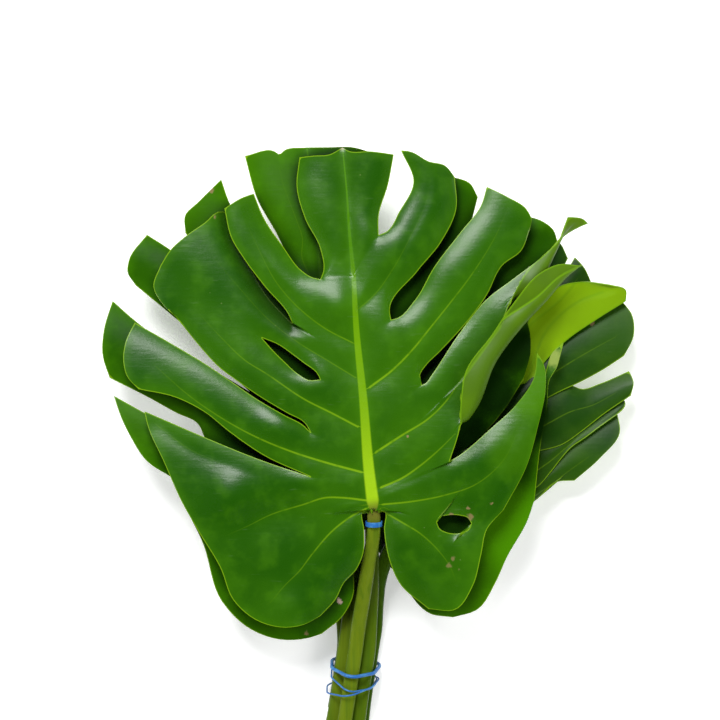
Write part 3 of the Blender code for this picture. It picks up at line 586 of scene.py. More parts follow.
class Graph:
    """Short calls for a material's nodes."""

    def __init__(self, name: str) -> None:
        """Starts a material that holds only its output and one Principled shader."""
        self.material = bpy.data.materials.new(name)
        self.material.use_nodes = True
        self.tree = self.material.node_tree
        self.shader = self.tree.nodes["Principled BSDF"]
        self.place = self.tree.nodes.new("ShaderNodeTexCoord").outputs["Object"]
        self.colour: object = None

    def node(self, kind: str, values: dict, **settings: object) -> bpy.types.Node:
        """Adds a node.

        Args:
            kind: Blender's name of the node.
            values: Input name or number, to a value or to a socket that feeds it.
            settings: Properties of the node.

        Returns:
            The node.
        """
        made = self.tree.nodes.new(kind)
        for key, value in settings.items():
            setattr(made, key, value)
        self.feed(made, values)
        return made

    def feed(self, node: bpy.types.Node, values: dict) -> None:
        """Sets or links a node's inputs."""
        for key, value in values.items():
            if isinstance(value, bpy.types.NodeSocket):
                self.tree.links.new(value, node.inputs[key])
            else:
                node.inputs[key].default_value = value

    def field(self, name: str) -> bpy.types.NodeSocket:
        """The value that the mesh stores under a name."""
        return self.node("ShaderNodeAttribute", {}, attribute_name=name).outputs["Fac"]

    def math(self, kind: str, *values: object) -> bpy.types.NodeSocket:
        """One sum, product or other operation."""
        return self.node("ShaderNodeMath", dict(enumerate(values)), operation=kind).outputs[0]

    def times(self, first: object, second: object) -> bpy.types.NodeSocket:
        """A product."""
        return self.math("MULTIPLY", first, second)

    def step(self, value: object, low: float, high: float, top: float = 1.0) -> bpy.types.NodeSocket:
        """A soft step: 0 at low, top at high."""
        made = self.node("ShaderNodeMapRange", {"Value": value, "From Min": low, "From Max": high,
                                                "To Max": top}, interpolation_type="SMOOTHSTEP")
        return made.outputs["Result"]

    def mix(self, amount: object, first: object, second: object) -> bpy.types.NodeSocket:
        """A blend of two colours."""
        colours = [(*c, 1.0) if isinstance(c, tuple) else c for c in (first, second)]
        made = self.node("ShaderNodeMix", {0: amount, 6: colours[0], 7: colours[1]}, data_type="RGBA")
        return made.outputs[2]

    def lay(self, amount: object, colour: object) -> None:
        """Lays a colour over the one so far."""
        self.colour = self.mix(amount, self.colour, colour)

    def stretched(self, scale: Colour, turn: float = 0.0) -> bpy.types.NodeSocket:
        """The place on the object, stretched by a scale and turned about the vertical."""
        return self.node("ShaderNodeMapping", {"Vector": self.place, "Scale": scale,
                                               "Rotation": (0.0, 0.0, math.radians(turn))}).outputs[0]

    def noise(self, scale: float, detail: float = 2.0, where: object = None) -> bpy.types.NodeSocket:
        """Cloudy noise, whose scale is in cells a metre."""
        return self.node("ShaderNodeTexNoise", {"Vector": where or self.place, "Scale": scale,
                                                "Detail": detail}).outputs[0]

    def spots(self, scale: float, size: float, share: float) -> bpy.types.NodeSocket:
        """Scattered round dots: some of the cells of a grid hold one.

        Args:
            scale: Cells a metre.
            size: Radius of a dot as a share of a cell.
            share: Share of the cells that hold a dot.

        Returns:
            1 in a dot and 0 outside.
        """
        cell = self.node("ShaderNodeTexVoronoi", {"Vector": self.place, "Scale": scale})
        chosen = self.math("LESS_THAN", cell.outputs["Color"], share)
        return self.times(chosen, self.step(cell.outputs["Distance"], size, size * 0.5))

    def bump(self, height: object, strength: float, distance: float) -> None:
        """Feeds the shader a bumped normal; the distance is in metres."""
        made = self.node("ShaderNodeBump", {"Height": height, "Strength": strength,
                                            "Distance": distance})
        self.tree.links.new(made.outputs[0], self.shader.inputs["Normal"])

    def finish(self, roughness: object, **sockets: object) -> bpy.types.Material:
        """Sets the shader's sockets; the base colour is the one laid so far.

        Args:
            roughness: Roughness or the socket that gives it.
            sockets: Further inputs, with underscores for spaces.

        Returns:
            The material.
        """
        values = {"Base Color": self.colour, "Roughness": roughness}
        values.update({key.replace("_", " "): value for key, value in sockets.items()})
        self.feed(self.shader, {key: (*value, 1.0) if isinstance(value, tuple) else value
                                for key, value in values.items()})
        return self.material


@dataclass(frozen=True)
class MarkOrPaintedLight:
    """A scar or tinted place on a blade, also used for patches of painted shade and painted light: its
    place in plan, radius, strength and colour.
    """

    place: Point
    radius: float
    strength: float = 0.8
    colour: Colour = (0.22, 0.15, 0.07)


@dataclass(frozen=True)
class BladeFinish:
    """The waxy upper face of a blade, its matt underside and its pale edge."""

    deep: Colour = (0.010, 0.062, 0.0008)
    green: Colour = (0.021, 0.092, 0.0012)
    fresh: Colour = (0.042, 0.150, 0.001)
    vein: Colour = (0.135, 0.270, 0.004)
    rib: Colour = (0.110, 0.250, 0.002)
    rib_foot: Colour = (0.240, 0.410, 0.007)
    knee: Colour = (0.085, 0.105, 0.010)
    edge: Colour = (0.165, 0.310, 0.006)
    under: Colour = (0.052, 0.120, 0.003)
    under_fresh: Colour = (0.068, 0.152, 0.001)
    scar: Colour = (0.22, 0.15, 0.07)
    # Near-black green that is painted on as shade.
    painted_shade: Colour = (0.0035, 0.018, 0.001)
    fleck: Colour = (0.14, 0.19, 0.06)
    scuff: Colour = (0.12, 0.18, 0.08)
    gloss: float = 0.25
    shine: float = 0.28
    # Scars and tinted places, and patches of painted shade and painted light.
    marks_and_painted_light: tuple[MarkOrPaintedLight, ...] = ()

    def top(self, name: str) -> bpy.types.Material:
        """The upper face: greens in soft clouds, pale veins, lime midrib and edge, small marks, and painted
        shade.
        """
        g = Graph(name)
        clouds = g.noise(11.0, 3.0)
        grain = g.noise(70.0, 4.0)
        g.colour = g.mix(g.step(clouds, 0.38, 0.62), self.deep, self.green)
        g.lay(g.step(grain, 0.45, 0.75, 0.35), self.fresh)
        g.lay(g.times(g.field("glow"), 0.55), self.fresh)
        near, pale = g.field("near"), g.field("pale")
        width = g.math("ADD", g.times(pale, 0.75), 0.25)
        core = g.step(g.math("DIVIDE", g.math("ABSOLUTE", g.field("vein")), width), 1.15, 0.45)
        core = g.times(g.times(core, g.step(near, 4.0, 3.0)), pale)
        g.lay(g.times(core, g.step(g.noise(160.0), 0.1, 0.5)), self.vein)
        edge, run = g.field("edge"), g.field("run")
        g.lay(g.step(edge, 9.0, 1.0, 0.25), self.fresh)
        g.lay(g.step(edge, 0.85, 0.3, 0.8), self.edge)
        rib = g.mix(g.step(run, 0.30, 0.0), self.rib, self.rib_foot)
        rib = g.mix(g.step(run, 0.30, 0.62, 0.93), rib, self.fresh)
        rib = g.mix(g.step(run, 0.03, 0.0, 0.9), rib, self.knee)
        g.lay(g.step(g.math("ABSOLUTE", g.field("rib")), 1.15, 0.75), rib)
        g.lay(g.times(g.spots(130.0, 0.09, 0.16), 0.4), self.fleck)
        streak = g.noise(1.0, 5.0, g.stretched((60.0, 420.0, 60.0), 35.0))
        g.lay(g.step(streak, 0.66, 0.76, 0.12), self.scuff)
        # Painted shade: darker under the blades above and beside tucked edges.
        painted_shade_mask = g.math("MAXIMUM", g.field("tuck"), g.step(g.field("shade"), 0.05, 0.6))
        g.lay(g.times(painted_shade_mask, 0.85), self.painted_shade)
        self.spot(g)
        g.bump(g.math("ADD", g.times(g.noise(420.0, 3.0), 0.6), streak), 0.22, 0.0004)
        rough = g.math("ADD", g.step(grain, 0.2, 0.9, 0.10), self.gloss)
        return g.finish(rough, IOR=1.45, Specular_IOR_Level=self.shine)

    def spot(self, g: Graph) -> None:
        """Lays a ragged spot in each mark's own colour; some spots are painted shade or painted light."""
        ragged = g.times(g.math("SUBTRACT", g.noise(260.0, 4.0), 0.5), 0.006)
        level = g.node("ShaderNodeVectorMath", {0: g.place, 1: (1.0, 1.0, 0.0)}, operation="MULTIPLY")
        for spot in self.marks_and_painted_light:
            x, y = (place + shift for place, shift in zip(spot.place, ORIGIN_SHIFT))
            gap = g.node("ShaderNodeVectorMath", {0: level.outputs[0], 1: (x * MM, y * MM, 0.0)},
                         operation="DISTANCE")
            far = g.math("ADD", gap.outputs["Value"], ragged)
            g.lay(g.step(far, spot.radius * MM, 0.4 * spot.radius * MM, spot.strength), spot.colour)

    def underside(self, name: str) -> bpy.types.Material:
        """The underside: a paler, matt olive green with raised pale veins."""
        g = Graph(name)
        g.colour = g.mix(g.step(g.noise(16.0, 3.0), 0.4, 0.62), self.under, self.under_fresh)
        core = g.step(g.math("ABSOLUTE", g.field("vein")), 1.6, 0.5)
        g.lay(g.times(g.times(core, g.step(g.field("near"), 4.0, 3.0)), 0.5), self.rib)
        g.lay(g.step(g.math("ABSOLUTE", g.field("rib")), 1.2, 0.8), self.rib)
        g.lay(g.step(g.field("edge"), 1.1, 0.5, 0.8), self.rib)
        g.bump(g.noise(380.0, 4.0), 0.2, 0.0004)
        return g.finish(0.42, IOR=1.45, Specular_IOR_Level=0.35)

    def rim(self, name: str) -> bpy.types.Material:
        """The edge of the blade: a thin lime line with drier stretches."""
        g = Graph(name)
        g.colour = g.mix(g.step(g.noise(45.0, 3.0), 0.62, 0.75, 0.6), self.edge, self.scar)
        return g.finish(0.45)


@dataclass(frozen=True)
class StalkFinish:
    """A stalk's ribbed olive skin and its cut end."""

    olive: Colour = (0.098, 0.145, 0.006)
    green: Colour = (0.030, 0.082, 0.002)
    streaks: Colour = (0.13, 0.19, 0.02)
    fleck: Colour = (0.20, 0.24, 0.09)
    knee: Colour = (0.10, 0.10, 0.015)
    pith: Colour = (0.30, 0.34, 0.14)
    fibre: Colour = (0.16, 0.18, 0.06)
    dried: Colour = (0.16, 0.08, 0.03)
    shade: float = 0.0

    def skin(self, name: str) -> bpy.types.Material:
        """Streaks along the stalk: olive on its flat top, greener on its flanks, with small pale flecks."""
        g = Graph(name)
        streak = g.noise(1.0, 4.0, g.stretched((260.0, 7.0, 260.0), -8.0))
        top = g.step(g.field("top"), 0.05, 0.75)
        g.colour = g.mix(g.times(top, 1.0 - self.shade), self.green, self.olive)
        g.lay(g.step(streak, 0.42, 0.72, 0.45), self.green)
        g.lay(g.step(streak, 0.45, 0.25, 0.25), self.streaks)
        g.lay(g.times(g.spots(210.0, 0.12, 0.14), 0.35), self.fleck)
        g.lay(g.step(g.field("knee"), 0.3, 1.0, 0.8), self.knee)
        g.bump(streak, 0.35, 0.0006)
        return g.finish(g.step(streak, 0.0, 1.3, 0.85), IOR=1.45, Specular_IOR_Level=0.12)

    def cut(self, name: str) -> bpy.types.Material:
        """The cut end: pale, dotted with fibres, and dried brown towards its rim."""
        g = Graph(name)
        g.colour = g.mix(g.spots(900.0, 0.3, 0.5), self.pith, self.fibre)
        g.lay(g.step(g.field("middle"), 0.75, 0.15), self.dried)
        g.bump(g.noise(900.0, 3.0), 0.4, 0.0004)
        return g.finish(0.75)


@dataclass(frozen=True)
class RubberFinish:
    """Blue rubber: slightly dusty, with a fine grain."""

    blue: Colour = (0.014, 0.110, 0.360)
    worn: Colour = (0.050, 0.210, 0.420)

    def material(self, name: str) -> bpy.types.Material:
        """Blue with paler worn patches and a satin surface."""
        g = Graph(name)
        g.colour = g.mix(g.step(g.noise(220.0, 3.0), 0.45, 0.7), self.blue, self.worn)
        g.bump(g.noise(1400.0, 2.0), 0.25, 0.0002)
        return g.finish(0.48, IOR=1.5)


@dataclass
class Cover:
    """How much of the light the leaves above take: a soft-edged map in plan."""

    cell: float = 2.0
    corner: Point = (-260.0, -160.0)
    cells: int = 260
    rounds: int = 20
    hidden: Array = field(init=False)

    def __post_init__(self) -> None:
        """Starts with nothing covered."""
        self.hidden = np.zeros((self.cells, self.cells))

    def add(self, points: Array) -> None:
        """Marks the cells under a leaf's points."""
        place = ((points[:, :2] - self.corner) / self.cell).astype(int)
        self.hidden[place[:, 0], place[:, 1]] = 1.0

    def shade(self, points: Array) -> Array:
        """The share of covered cells near each point, between 0 and 1."""
        soft = self.hidden
        for _ in range(self.rounds):
            for axis in (0, 1):
                soft = (np.roll(soft, 1, axis) + 2 * soft + np.roll(soft, -1, axis)) / 4
        place = (points[:, :2] - self.corner) / self.cell - 0.5
        low = place.astype(int)
        (x, y), (i, j) = (place - low).T, low.T
        return ((1 - x) * (1 - y) * soft[i, j] + x * (1 - y) * soft[i + 1, j]
                + (1 - x) * y * soft[i, j + 1] + x * y * soft[i + 1, j + 1])


@dataclass
class Blade:
    """A leaf blade: lobes lofted between their cuts, with sunk veins and a thin wall."""

    name: str
    plan: LeafPlan
    finish: BladeFinish
    seed: int
    density: int = 6
    base_rows: int = 9
    base_stations: int = 16
    thickness: float = 0.9
    rib_thickness: float = 4.2
    rib_reach: float = 6.0
    vein_depth: float = 3.4
    vein_reach: float = 12.0
    fall: float = 3.6
    fall_reach: float = 10.0
    tuck_reach: float = 9.0
    vein_tone: float = 1.0
    wave: float = 1.1
    easing_rounds: int = 30
    softening_rounds: int = 4
    vein_share: float = 0.93
    fold_width: float = 22.0
    arch_share: float = 0.55
    pucker: float = 1.6
    pucker_reach: float = 12.0
    glow_reach: float = 5.0
    crown: float = 0.9
    rib_end: float = 0.45
    rib_taper: float = 4.2
    rib_foot_run: float = 0.02
    lowest_droop_per_mm2: float = 0.0012
    lowest_middle: Point = (-40.0, 25.0)

    @property
    def rows(self) -> int:
        """Number of rows of faces from the midrib to the margin."""
        return self.base_rows * self.density

    def cut_lines(self, cut: Cut, foot: Point) -> tuple[Array, Array, int, int]:
        """The two sides of a cut: one line to the knee, and again past the last open row.

        Args:
            cut: The cut.
            foot: Where it starts on the midrib.

        Returns:
            The side before it, the side after it, the knee row and the last open row.
        """
        rows = self.rows
        if not cut.before and not cut.after:
            line = through([foot] + cut.seam, rows)
            line = np.column_stack([line, cut.rise[0] * smooth(np.linspace(0.0, 1.0, rows + 1))])
            return line, line, rows, rows
        bottom = cut.seam[-1] if cut.seam else foot
        open_run = max(run_length([bottom] + cut.before), run_length([bottom] + cut.after))
        seam_run = run_length([foot] + cut.seam)
        end_run = run_length([(cut.before or cut.after)[-1]] + cut.rejoin)
        total = open_run + seam_run + end_run
        knee = max(int(round(rows * seam_run / total)), 1) if cut.seam else 0
        last = rows - max(1, int(round(rows * end_run / total))) if cut.rejoin else rows
        last = max(last, knee + 2) if cut.rejoin else last
        sides = []
        for side, rise in ((cut.before, cut.rise[0]), (cut.after, cut.rise[1])):
            side = side or cut.before or cut.after
            pieces = [through([foot] + cut.seam, knee)[:-1]] if knee else []
            pieces.append(through([bottom] + side, last - knee))
            if cut.rejoin:
                pieces.append(through([side[-1]] + cut.rejoin, rows - last)[1:])
            ramp = smooth((np.arange(rows + 1) - knee) / (rows - knee))
            sides.append(np.column_stack([np.concatenate(pieces), rise * ramp]))
        return sides[0], sides[1], knee, last

    def folded_rails(self, before: Array, after: Array, lobe: Lobe, knee: int) -> list:
        """Lines across a lobe whose outer edge turns up and over its crest line.

        Args:
            before: The side that lies flat.
            after: The side that turns over.
            lobe: The lobe, with its crest line.
            knee: The row where the sides part.

        Returns:
            Pairs of a place across the lobe, from 0 to 1, and the line there.
        """
        rows = self.rows
        line = through([tuple(after[knee, :2])] + lobe.crest, rows - knee)
        line = np.concatenate([np.repeat(line[:1], knee, axis=0), line])
        inward = after[:, :2] - line
        width = np.linalg.norm(inward, axis=1, keepdims=True)
        inward = inward / np.maximum(width, 1e-6)
        span = np.linspace(0.0, 1.0, rows + 1)[:, None]
        turned = (smooth((span - lobe.crest_rows[0]) / 0.12)
                  * (1 - smooth((span - lobe.crest_rows[1]) / 0.08))
                  * smooth((span * rows - knee) / (0.15 * rows)))
        height = 0.5 * np.minimum(width, self.fold_width) * turned
        rails = []
        for knot, back, lift in ((0.42, 0.42, -0.10), (0.62, 0.0, 0.45), (0.76, 0.22, 0.9)):
            lying = before * (1 - knot) + after * knot
            over = np.column_stack([line + inward * width * back, np.zeros(rows + 1)])
            over[:, 2:] = lying[:, 2:] + height * lift
            rails.append((knot, lying * (1 - turned) + over * turned))
        edge = after.copy()
        edge[:, 2:] += height
        return [(0.0, before)] + rails + [(1.0, edge)]

    def lobe_grid(self, lobe: Lobe, first: tuple, second: tuple, start: Array,
                  foot: Array) -> tuple[Array, Array, Array]:
        """Points over one lobe: a loft across its rails, pulled to its foot and to its margin.

        Args:
            lobe: The lobe.
            first: Side line, knee row and last open row of the cut before it.
            second: The same of the cut after it.
            start: Even points along its foot on the midrib.
            foot: The midrib's own points nearest to them, which the first row takes.

        Returns:
            The grid of points, along the lobe and across it, each point's reach to an open edge, and
            its reach to each open side that isn't turned over.
        """
        rows, across = self.rows, len(start) - 1
        t = np.linspace(0.0, 1.0, across + 1)
        s = np.linspace(0.0, 1.0, rows + 1)[:, None, None]
        rails = [(0.0, first[0]), (1.0, second[0])]
        if lobe.crest:
            rails = self.folded_rails(first[0], second[0], lobe, second[1])
        loft = hermite(np.array([k for k, _ in rails]), np.stack([r for _, r in rails]), t)
        loft = loft.transpose(1, 0, 2)
        corners = [tuple(rails[0][1][-1, :2])] + list(lobe.margin)
        end = rails[-1][1][-1, :2]
        if math.dist(corners[-1], end) <= 0.5:
            corners.pop()
        outer = np.column_stack([through(corners + [tuple(end)], across), loft[-1, :, 2]])
        outer[0], outer[-1] = rails[0][1][-1], rails[-1][1][-1]
        grid = loft + (1 - s) * (start - loft[0]) + s * (outer - loft[-1])
        grid[0] = foot
        grid[:, :, 2] += self.arch_share * lobe.arch * 4 * t * (1 - t) * smooth(s[:, :, 0] / 0.35)
        reach = np.linalg.norm(grid - grid[-1:], axis=2)
        sides = np.full((2,) + reach.shape, FAR)
        for column, (_, knee, last) in ((0, first), (-1, second)):
            if knee == rows:
                continue
            gap = nearest(grid.reshape(-1, 3), grid[knee:last + 1, column])[0].reshape(reach.shape)
            reach = np.minimum(reach, gap)
            if not (lobe.crest and column):
                sides[column] = gap
        return grid, reach, sides

    def lofted(self) -> tuple[Surface, Array, list[Vein]]:
        """The upper face before its relief, merged where lobes meet.

        Returns:
            The surface, the midrib's points from its foot to the tip, and the veins.
        """
        plan, stations = self.plan, self.base_stations * self.density
        rib = flat(through(plan.midrib, stations))
        cuts, lobes = plan.parts[0::2], plan.parts[1::2]
        lines = [self.cut_lines(cut, tuple(rib[cut.station * self.density, :2])) for cut in cuts]
        points, quads, reaches, drops, tucks, veins, offset = [], [], [], [], [], [], 0
        for i, lobe in enumerate(lobes):
            across = lobe.columns * self.density
            ends = cuts[i].station * self.density, cuts[i + 1].station * self.density
            place = np.linspace(*ends, across + 1)
            start = np.stack([np.interp(place, np.arange(len(rib)), rib[:, k]) for k in range(3)], axis=1)
            before, after = lines[i], lines[i + 1]
            grid, reach, sides = self.lobe_grid(lobe, before[1:], (after[0], *after[2:]), start,
                                                rib[np.round(place).astype(int)])
            a = (offset + np.arange(self.rows)[:, None] * (across + 1) + np.arange(across)).ravel()
            points.append(grid.reshape(-1, 3))
            reaches.append(reach.ravel())
            # Closeness to a tucked side: it bends the blade down and is painted as shade on the upper face.
            tucks.append(np.exp(-(sides[1].ravel() / self.tuck_reach) ** 2) * (cuts[i + 1].tuck > 0))
            curls = [cuts[i + k].curl * np.exp(-sides[k].ravel() / self.fall_reach) for k in (0, 1)]
            drops.append(self.fall * np.maximum(*curls) + cuts[i + 1].tuck * tucks[-1])
            quads.append(np.stack([a, a + 1, a + across + 2, a + across + 1], axis=1))
            offset += grid.shape[0] * grid.shape[1]
            if ends[0] != ends[1] or lobe.columns > 3:
                middle = grid[:int(self.vein_share * self.rows), across // 2, :2]
                veins.append(Vein(resample(middle, 8).tolist(), depth=(0.8, 0.2), pale=(0.8, 0.1)))
        tip = flat(through([plan.midrib[-1]] + plan.tip, stations))
        line = placed(np.concatenate([rib, tip[1:]]), plan.lie)
        fields = {"edge": reaches, "drop": drops, "tuck": tucks}
        loose = Surface(placed(np.concatenate(points), plan.lie), np.concatenate(quads),
                        {key: np.concatenate(values) for key, values in fields.items()})
        return self.merged(loose), line, plan.veins or veins

    def merged(self, loose: Surface) -> Surface:
        """The surface with points that share a place made one, facing up, without empty faces."""
        cell, phase = 0.02, 0.318
        key = np.floor(loose.points / cell + phase).astype(np.int64)
        _, first, inverse = np.unique(key, axis=0, return_index=True, return_inverse=True)
        q = inverse.reshape(-1)[loose.quads]
        same = q == np.roll(q, -1, axis=1)
        shift = same.argmax(axis=1)
        turned = np.take_along_axis(q, (np.arange(4)[None, :] + shift[:, None] + 2) % 4, axis=1)
        q = np.where(same.any(axis=1)[:, None], turned, q)
        distinct = (np.diff(np.sort(q, axis=1), axis=1) != 0).sum(axis=1) + 1
        q = q[distinct >= 3]
        points = loose.points[first]
        if np.cross(points[q[:, 1]] - points[q[:, 0]], points[q[:, 2]] - points[q[:, 0]])[:, 2].sum() < 0:
            q = q[:, [1, 0, 3, 2]]
        return Surface(points, q, {k: v[first] for k, v in loose.fields.items()})

    def eased(self, surface: Surface, rounds: int) -> Array:
        """Heights with the kinks between lobes worn off; edges and turned-up strips keep theirs.

        Each round moves a point part of the way to the mean height of its neighbours.

        Args:
            surface: The face.
            rounds: How often.

        Returns:
            The new heights.
        """
        a, b = surface.edges().T
        size = len(surface.points)
        count = np.bincount(a, minlength=size) + np.bincount(b, minlength=size)
        steep = np.zeros(size, bool)
        steep[surface.quads[unit(surface.normals())[:, 2] < 0.9].ravel()] = True
        share = np.where(steep | (surface.fields["edge"] < 0.05), 0.0, 0.6)
        z = surface.points[:, 2].copy()
        for _ in range(rounds):
            total = np.bincount(a, z[b], size) + np.bincount(b, z[a], size)
            z += share * (total / np.maximum(count, 1) - z)
        return z

    def relief(self, surface: Surface, line: Array, veins: list[Vein]) -> None:
        """Gives the face its height: layer, dome, waves, a valley along each vein, a crowned midrib.

        A vein's valley falls off as exp(-distance / reach). It also stores the fields that the
        finishes read.

        Args:
            surface: The merged surface, changed in place.
            line: The midrib's points.
            veins: The side veins in the leaf's own plan.
        """
        p, plan = surface.points, self.plan
        p[:, 2] = self.eased(surface, self.easing_rounds) + plan.layer.value + dome(p[:, 0], p[:, 1])
        count = len(p)
        valley, glow = np.zeros(count), np.zeros(count)
        near, side, pale = np.full(count, FAR), np.ones(count), np.zeros(count)
        for vein in veins:
            route = through(vein.line, max(8, int(run_length(vein.line) / 1.2)))
            gap, sign, run = nearest(p, placed(flat(route), plan.lie))
            depth = vein.depth[0] + (vein.depth[1] - vein.depth[0]) * run
            tone = self.vein_tone * (vein.pale[0] + (vein.pale[1] - vein.pale[0]) * run)
            valley = np.maximum(valley, depth * np.exp(-gap / self.vein_reach))
            glow = np.maximum(glow, tone * np.exp(-gap / self.glow_reach))
            closer = gap < near
            near, side = np.where(closer, gap, near), np.where(closer, sign, side)
            pale = np.where(closer, tone, pale)
        gap, sign, run = nearest(p, line)
        half = ((self.rib_end + self.rib_taper * (1 - run) ** 1.8)
                * (0.35 + 0.65 * np.sqrt(np.clip(run / self.rib_foot_run, 0.0, 1.0))))
        beside = np.maximum(gap - half, 0.0)
        valley = np.maximum(valley, (1 - 0.5 * run) * np.exp(-beside / self.vein_reach))
        glow = np.maximum(glow, 0.8 * np.exp(-beside / self.glow_reach))
        for cut in plan.parts[0::2]:
            if cut.seam and (cut.before or cut.after):
                end = placed(flat(np.array([cut.seam[-1]])), plan.lie)[0, :2]
                p[:, 2] += hump(p, end, self.pucker, self.pucker_reach)
        for swell in plan.swells:
            p[:, 2] += hump(p, swell.place, swell.height, swell.radius)
        p[:, 2] += (self.wave * ripple(p[:, 0], p[:, 1], self.seed)
                    + self.vein_depth * (0.5 - valley))
        p[:, 2] += 0.45 * self.fall - surface.fields["drop"]
        p[:, 2] += self.crown * (1 - run) * np.maximum(1 - (gap / half) ** 2, 0.0)
        p[:, 2] = self.eased(surface, self.softening_rounds)
        if plan.layer is Layer.LOWEST:
            reach = ((p[:, :2] - self.lowest_middle) ** 2).sum(axis=1)
            p[:, 2] = np.maximum(p[:, 2] - self.lowest_droop_per_mm2 * reach, self.thickness)
        surface.fields.update(vein=near * side, near=near, pale=pale, glow=glow, run=run,
                              rib=np.clip(sign * gap / half, -4.0, 4.0))
        surface.fields["depth"] = self.thickness + (self.rib_thickness - self.thickness) * (
            (1 - run) * smooth(1 - gap / self.rib_reach))

    def shell(self, surface: Surface) -> tuple[Array, list, Array]:
        """Turns the face into a closed wall: each point is repeated along its normal.

        Args:
            surface: The upper face.

        Returns:
            Points, faces and each face's slot.
        """
        p, q = surface.points, surface.quads
        normal, square = np.zeros_like(p), surface.normals()
        for corner in range(4):
            np.add.at(normal, q[:, corner], square)
        lower = p - unit(normal) * surface.fields["depth"][:, None]
        lower[:, 2] = np.maximum(lower[:, 2], 0.0)
        count, edges = len(p), surface.edges()
        code = edges.min(axis=1) * count + edges.max(axis=1)
        _, first, seen = np.unique(code, return_index=True, return_counts=True)
        open_edges = edges[first[seen == 1]]
        a, b = open_edges[:, 0], open_edges[:, 1]
        rim = np.stack([a, a + count, b + count, b], axis=1)
        three = q[:, 2] == q[:, 3]
        tops = q[~three].tolist() + q[three][:, :3].tolist()
        unders = (q[~three][:, ::-1] + count).tolist() + (q[three][:, 2::-1] + count).tolist()
        slots = np.repeat([Face.TOP.value, Face.UNDER.value, Face.RIM.value],
                          [len(tops), len(unders), len(rim)])
        return np.concatenate([p, lower]), tops + unders + rim.tolist(), slots

    def build(self, cover: Cover) -> bpy.types.Object:
        """Makes the blade, dressed and standing for its solid.

        Args:
            cover: What lies above it, to which it's added.

        Returns:
            The piece.
        """
        surface, line, veins = self.lofted()
        self.relief(surface, line, veins)
        # The blurred cover of the blades above, painted as shade on the upper face.
        surface.fields["shade"] = cover.shade(surface.points)
        cover.add(surface.points)
        points, faces, slots = self.shell(surface)
        fields = {key: np.tile(values, 2) for key, values in surface.fields.items()
                  if key not in ("depth", "drop")}
        name, finish = self.name, self.finish
        looks = [finish.top(f"{name}_upper_face"), finish.underside(f"{name}_underside"),
                 finish.rim(f"{name}_rim")]
        piece = drawn(f"{name}_blade", points, faces, looks, slots, fields)
        return claimed(piece, Slot.LEAF, f"{name}_leaf")


def claimed(piece: bpy.types.Object, slot: Slot, *nodes: str) -> bpy.types.Object:
    """Ties a piece to the bunch's body and hides the solids that it stands for."""
    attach(piece, BODY)
    if nodes:
        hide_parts(*nodes)
    LOG.info("%s: %d faces", piece.name, len(piece.data.polygons))
    return piece


@dataclass(frozen=True)
class StalkPlan:
    """A stalk's way: from under its blade, down into the bundle, and out to its cut end."""

    layer: Layer
    top: Point
    across: float
    height: float
    end_y: float
    bends: list[tuple[float, float, float]]
    foot: Point


@dataclass(frozen=True)
class Bundle:
    """Where the stalks run side by side, and how they spread and fall past the bands."""

    middle_y: float = -121.7
    middle_x: float = -12.2
    lean: float = 0.15
    fall: float = 0.035
    spread: float = 0.0035
    seat_gap: float = 0.3
    radius: float = 5.4
    top_radius: float = 4.8
    top_depth: float = 4.2

    def x_at(self, y: float) -> float:
        """Sideways place of the bundle's middle at a distance along the stalks."""
        return self.middle_x + self.lean * (y - self.middle_y)

    def route(self, plan: StalkPlan) -> list[tuple[float, float, float]]:
        """Points along a stalk's middle line, from under its blade to its cut end."""
        top_x, top_y = plan.top
        points = [(top_x, top_y, plan.layer.value + dome(top_x, top_y) - self.top_depth)] + plan.bends
        for y in (self.middle_y + 13, self.middle_y, self.middle_y - 22):
            points.append((self.x_at(y) + plan.across, y, plan.height))
        start = self.middle_y - 22
        steps = max(1, int(round((start - plan.end_y) / 30.0)))
        for k in range(1, steps + 1):
            past = (start - plan.end_y) * k / steps
            low = max(plan.height - self.fall * past, self.radius + self.seat_gap)
            x = self.x_at(start - past) + plan.across * (1 + self.spread * past)
            points.append((x, start - past, low))
        return points


BUNDLE = Bundle()
STALKS = {
    "front": StalkPlan(Layer.FRONT, (0.5, -7.2), -2.5, 29.0, -262.0,
                       [(0.5, -20.0, 58.8), (-3.2, -44.0, 50.0), (-6.8, -68.0, 40.5),
                        (-10.3, -90.0, 32.4)], (0.5, -1.0)),
    "second": StalkPlan(Layer.SECOND, (-1.0, -18.5), 7.0, 21.2, -255.0,
                        [(-0.6, -40.0, 40.4), (-1.2, -68.0, 29.4), (-2.2, -90.0, 23.6)],
                        (-1.5, -13.0)),
    "right": StalkPlan(Layer.RIGHT, (35.3, 5.6), 9.5, 9.8, -250.0,
                       [(25.0, -14.0, 32.4), (13.0, -34.0, 29.4), (5.0, -56.0, 23.0),
                        (2.6, -76.0, 15.8), (1.6, -93.0, 10.8)], (38.0, 12.0)),
    "left": StalkPlan(Layer.LEFT, (-12.0, -24.6), -10.4, 20.6, -245.0,
                      [(-12.0, -45.0, 19.8), (-16.0, -76.0, 20.4)], (-12.5, -18.0)),
    "lowest": StalkPlan(Layer.LOWEST, (-20.2, -19.2), -10.8, 9.5, -152.0,
                        [(-21.4, -40.0, 8.2), (-22.6, -72.0, 9.0)], (-20.0, -12.0)),
}


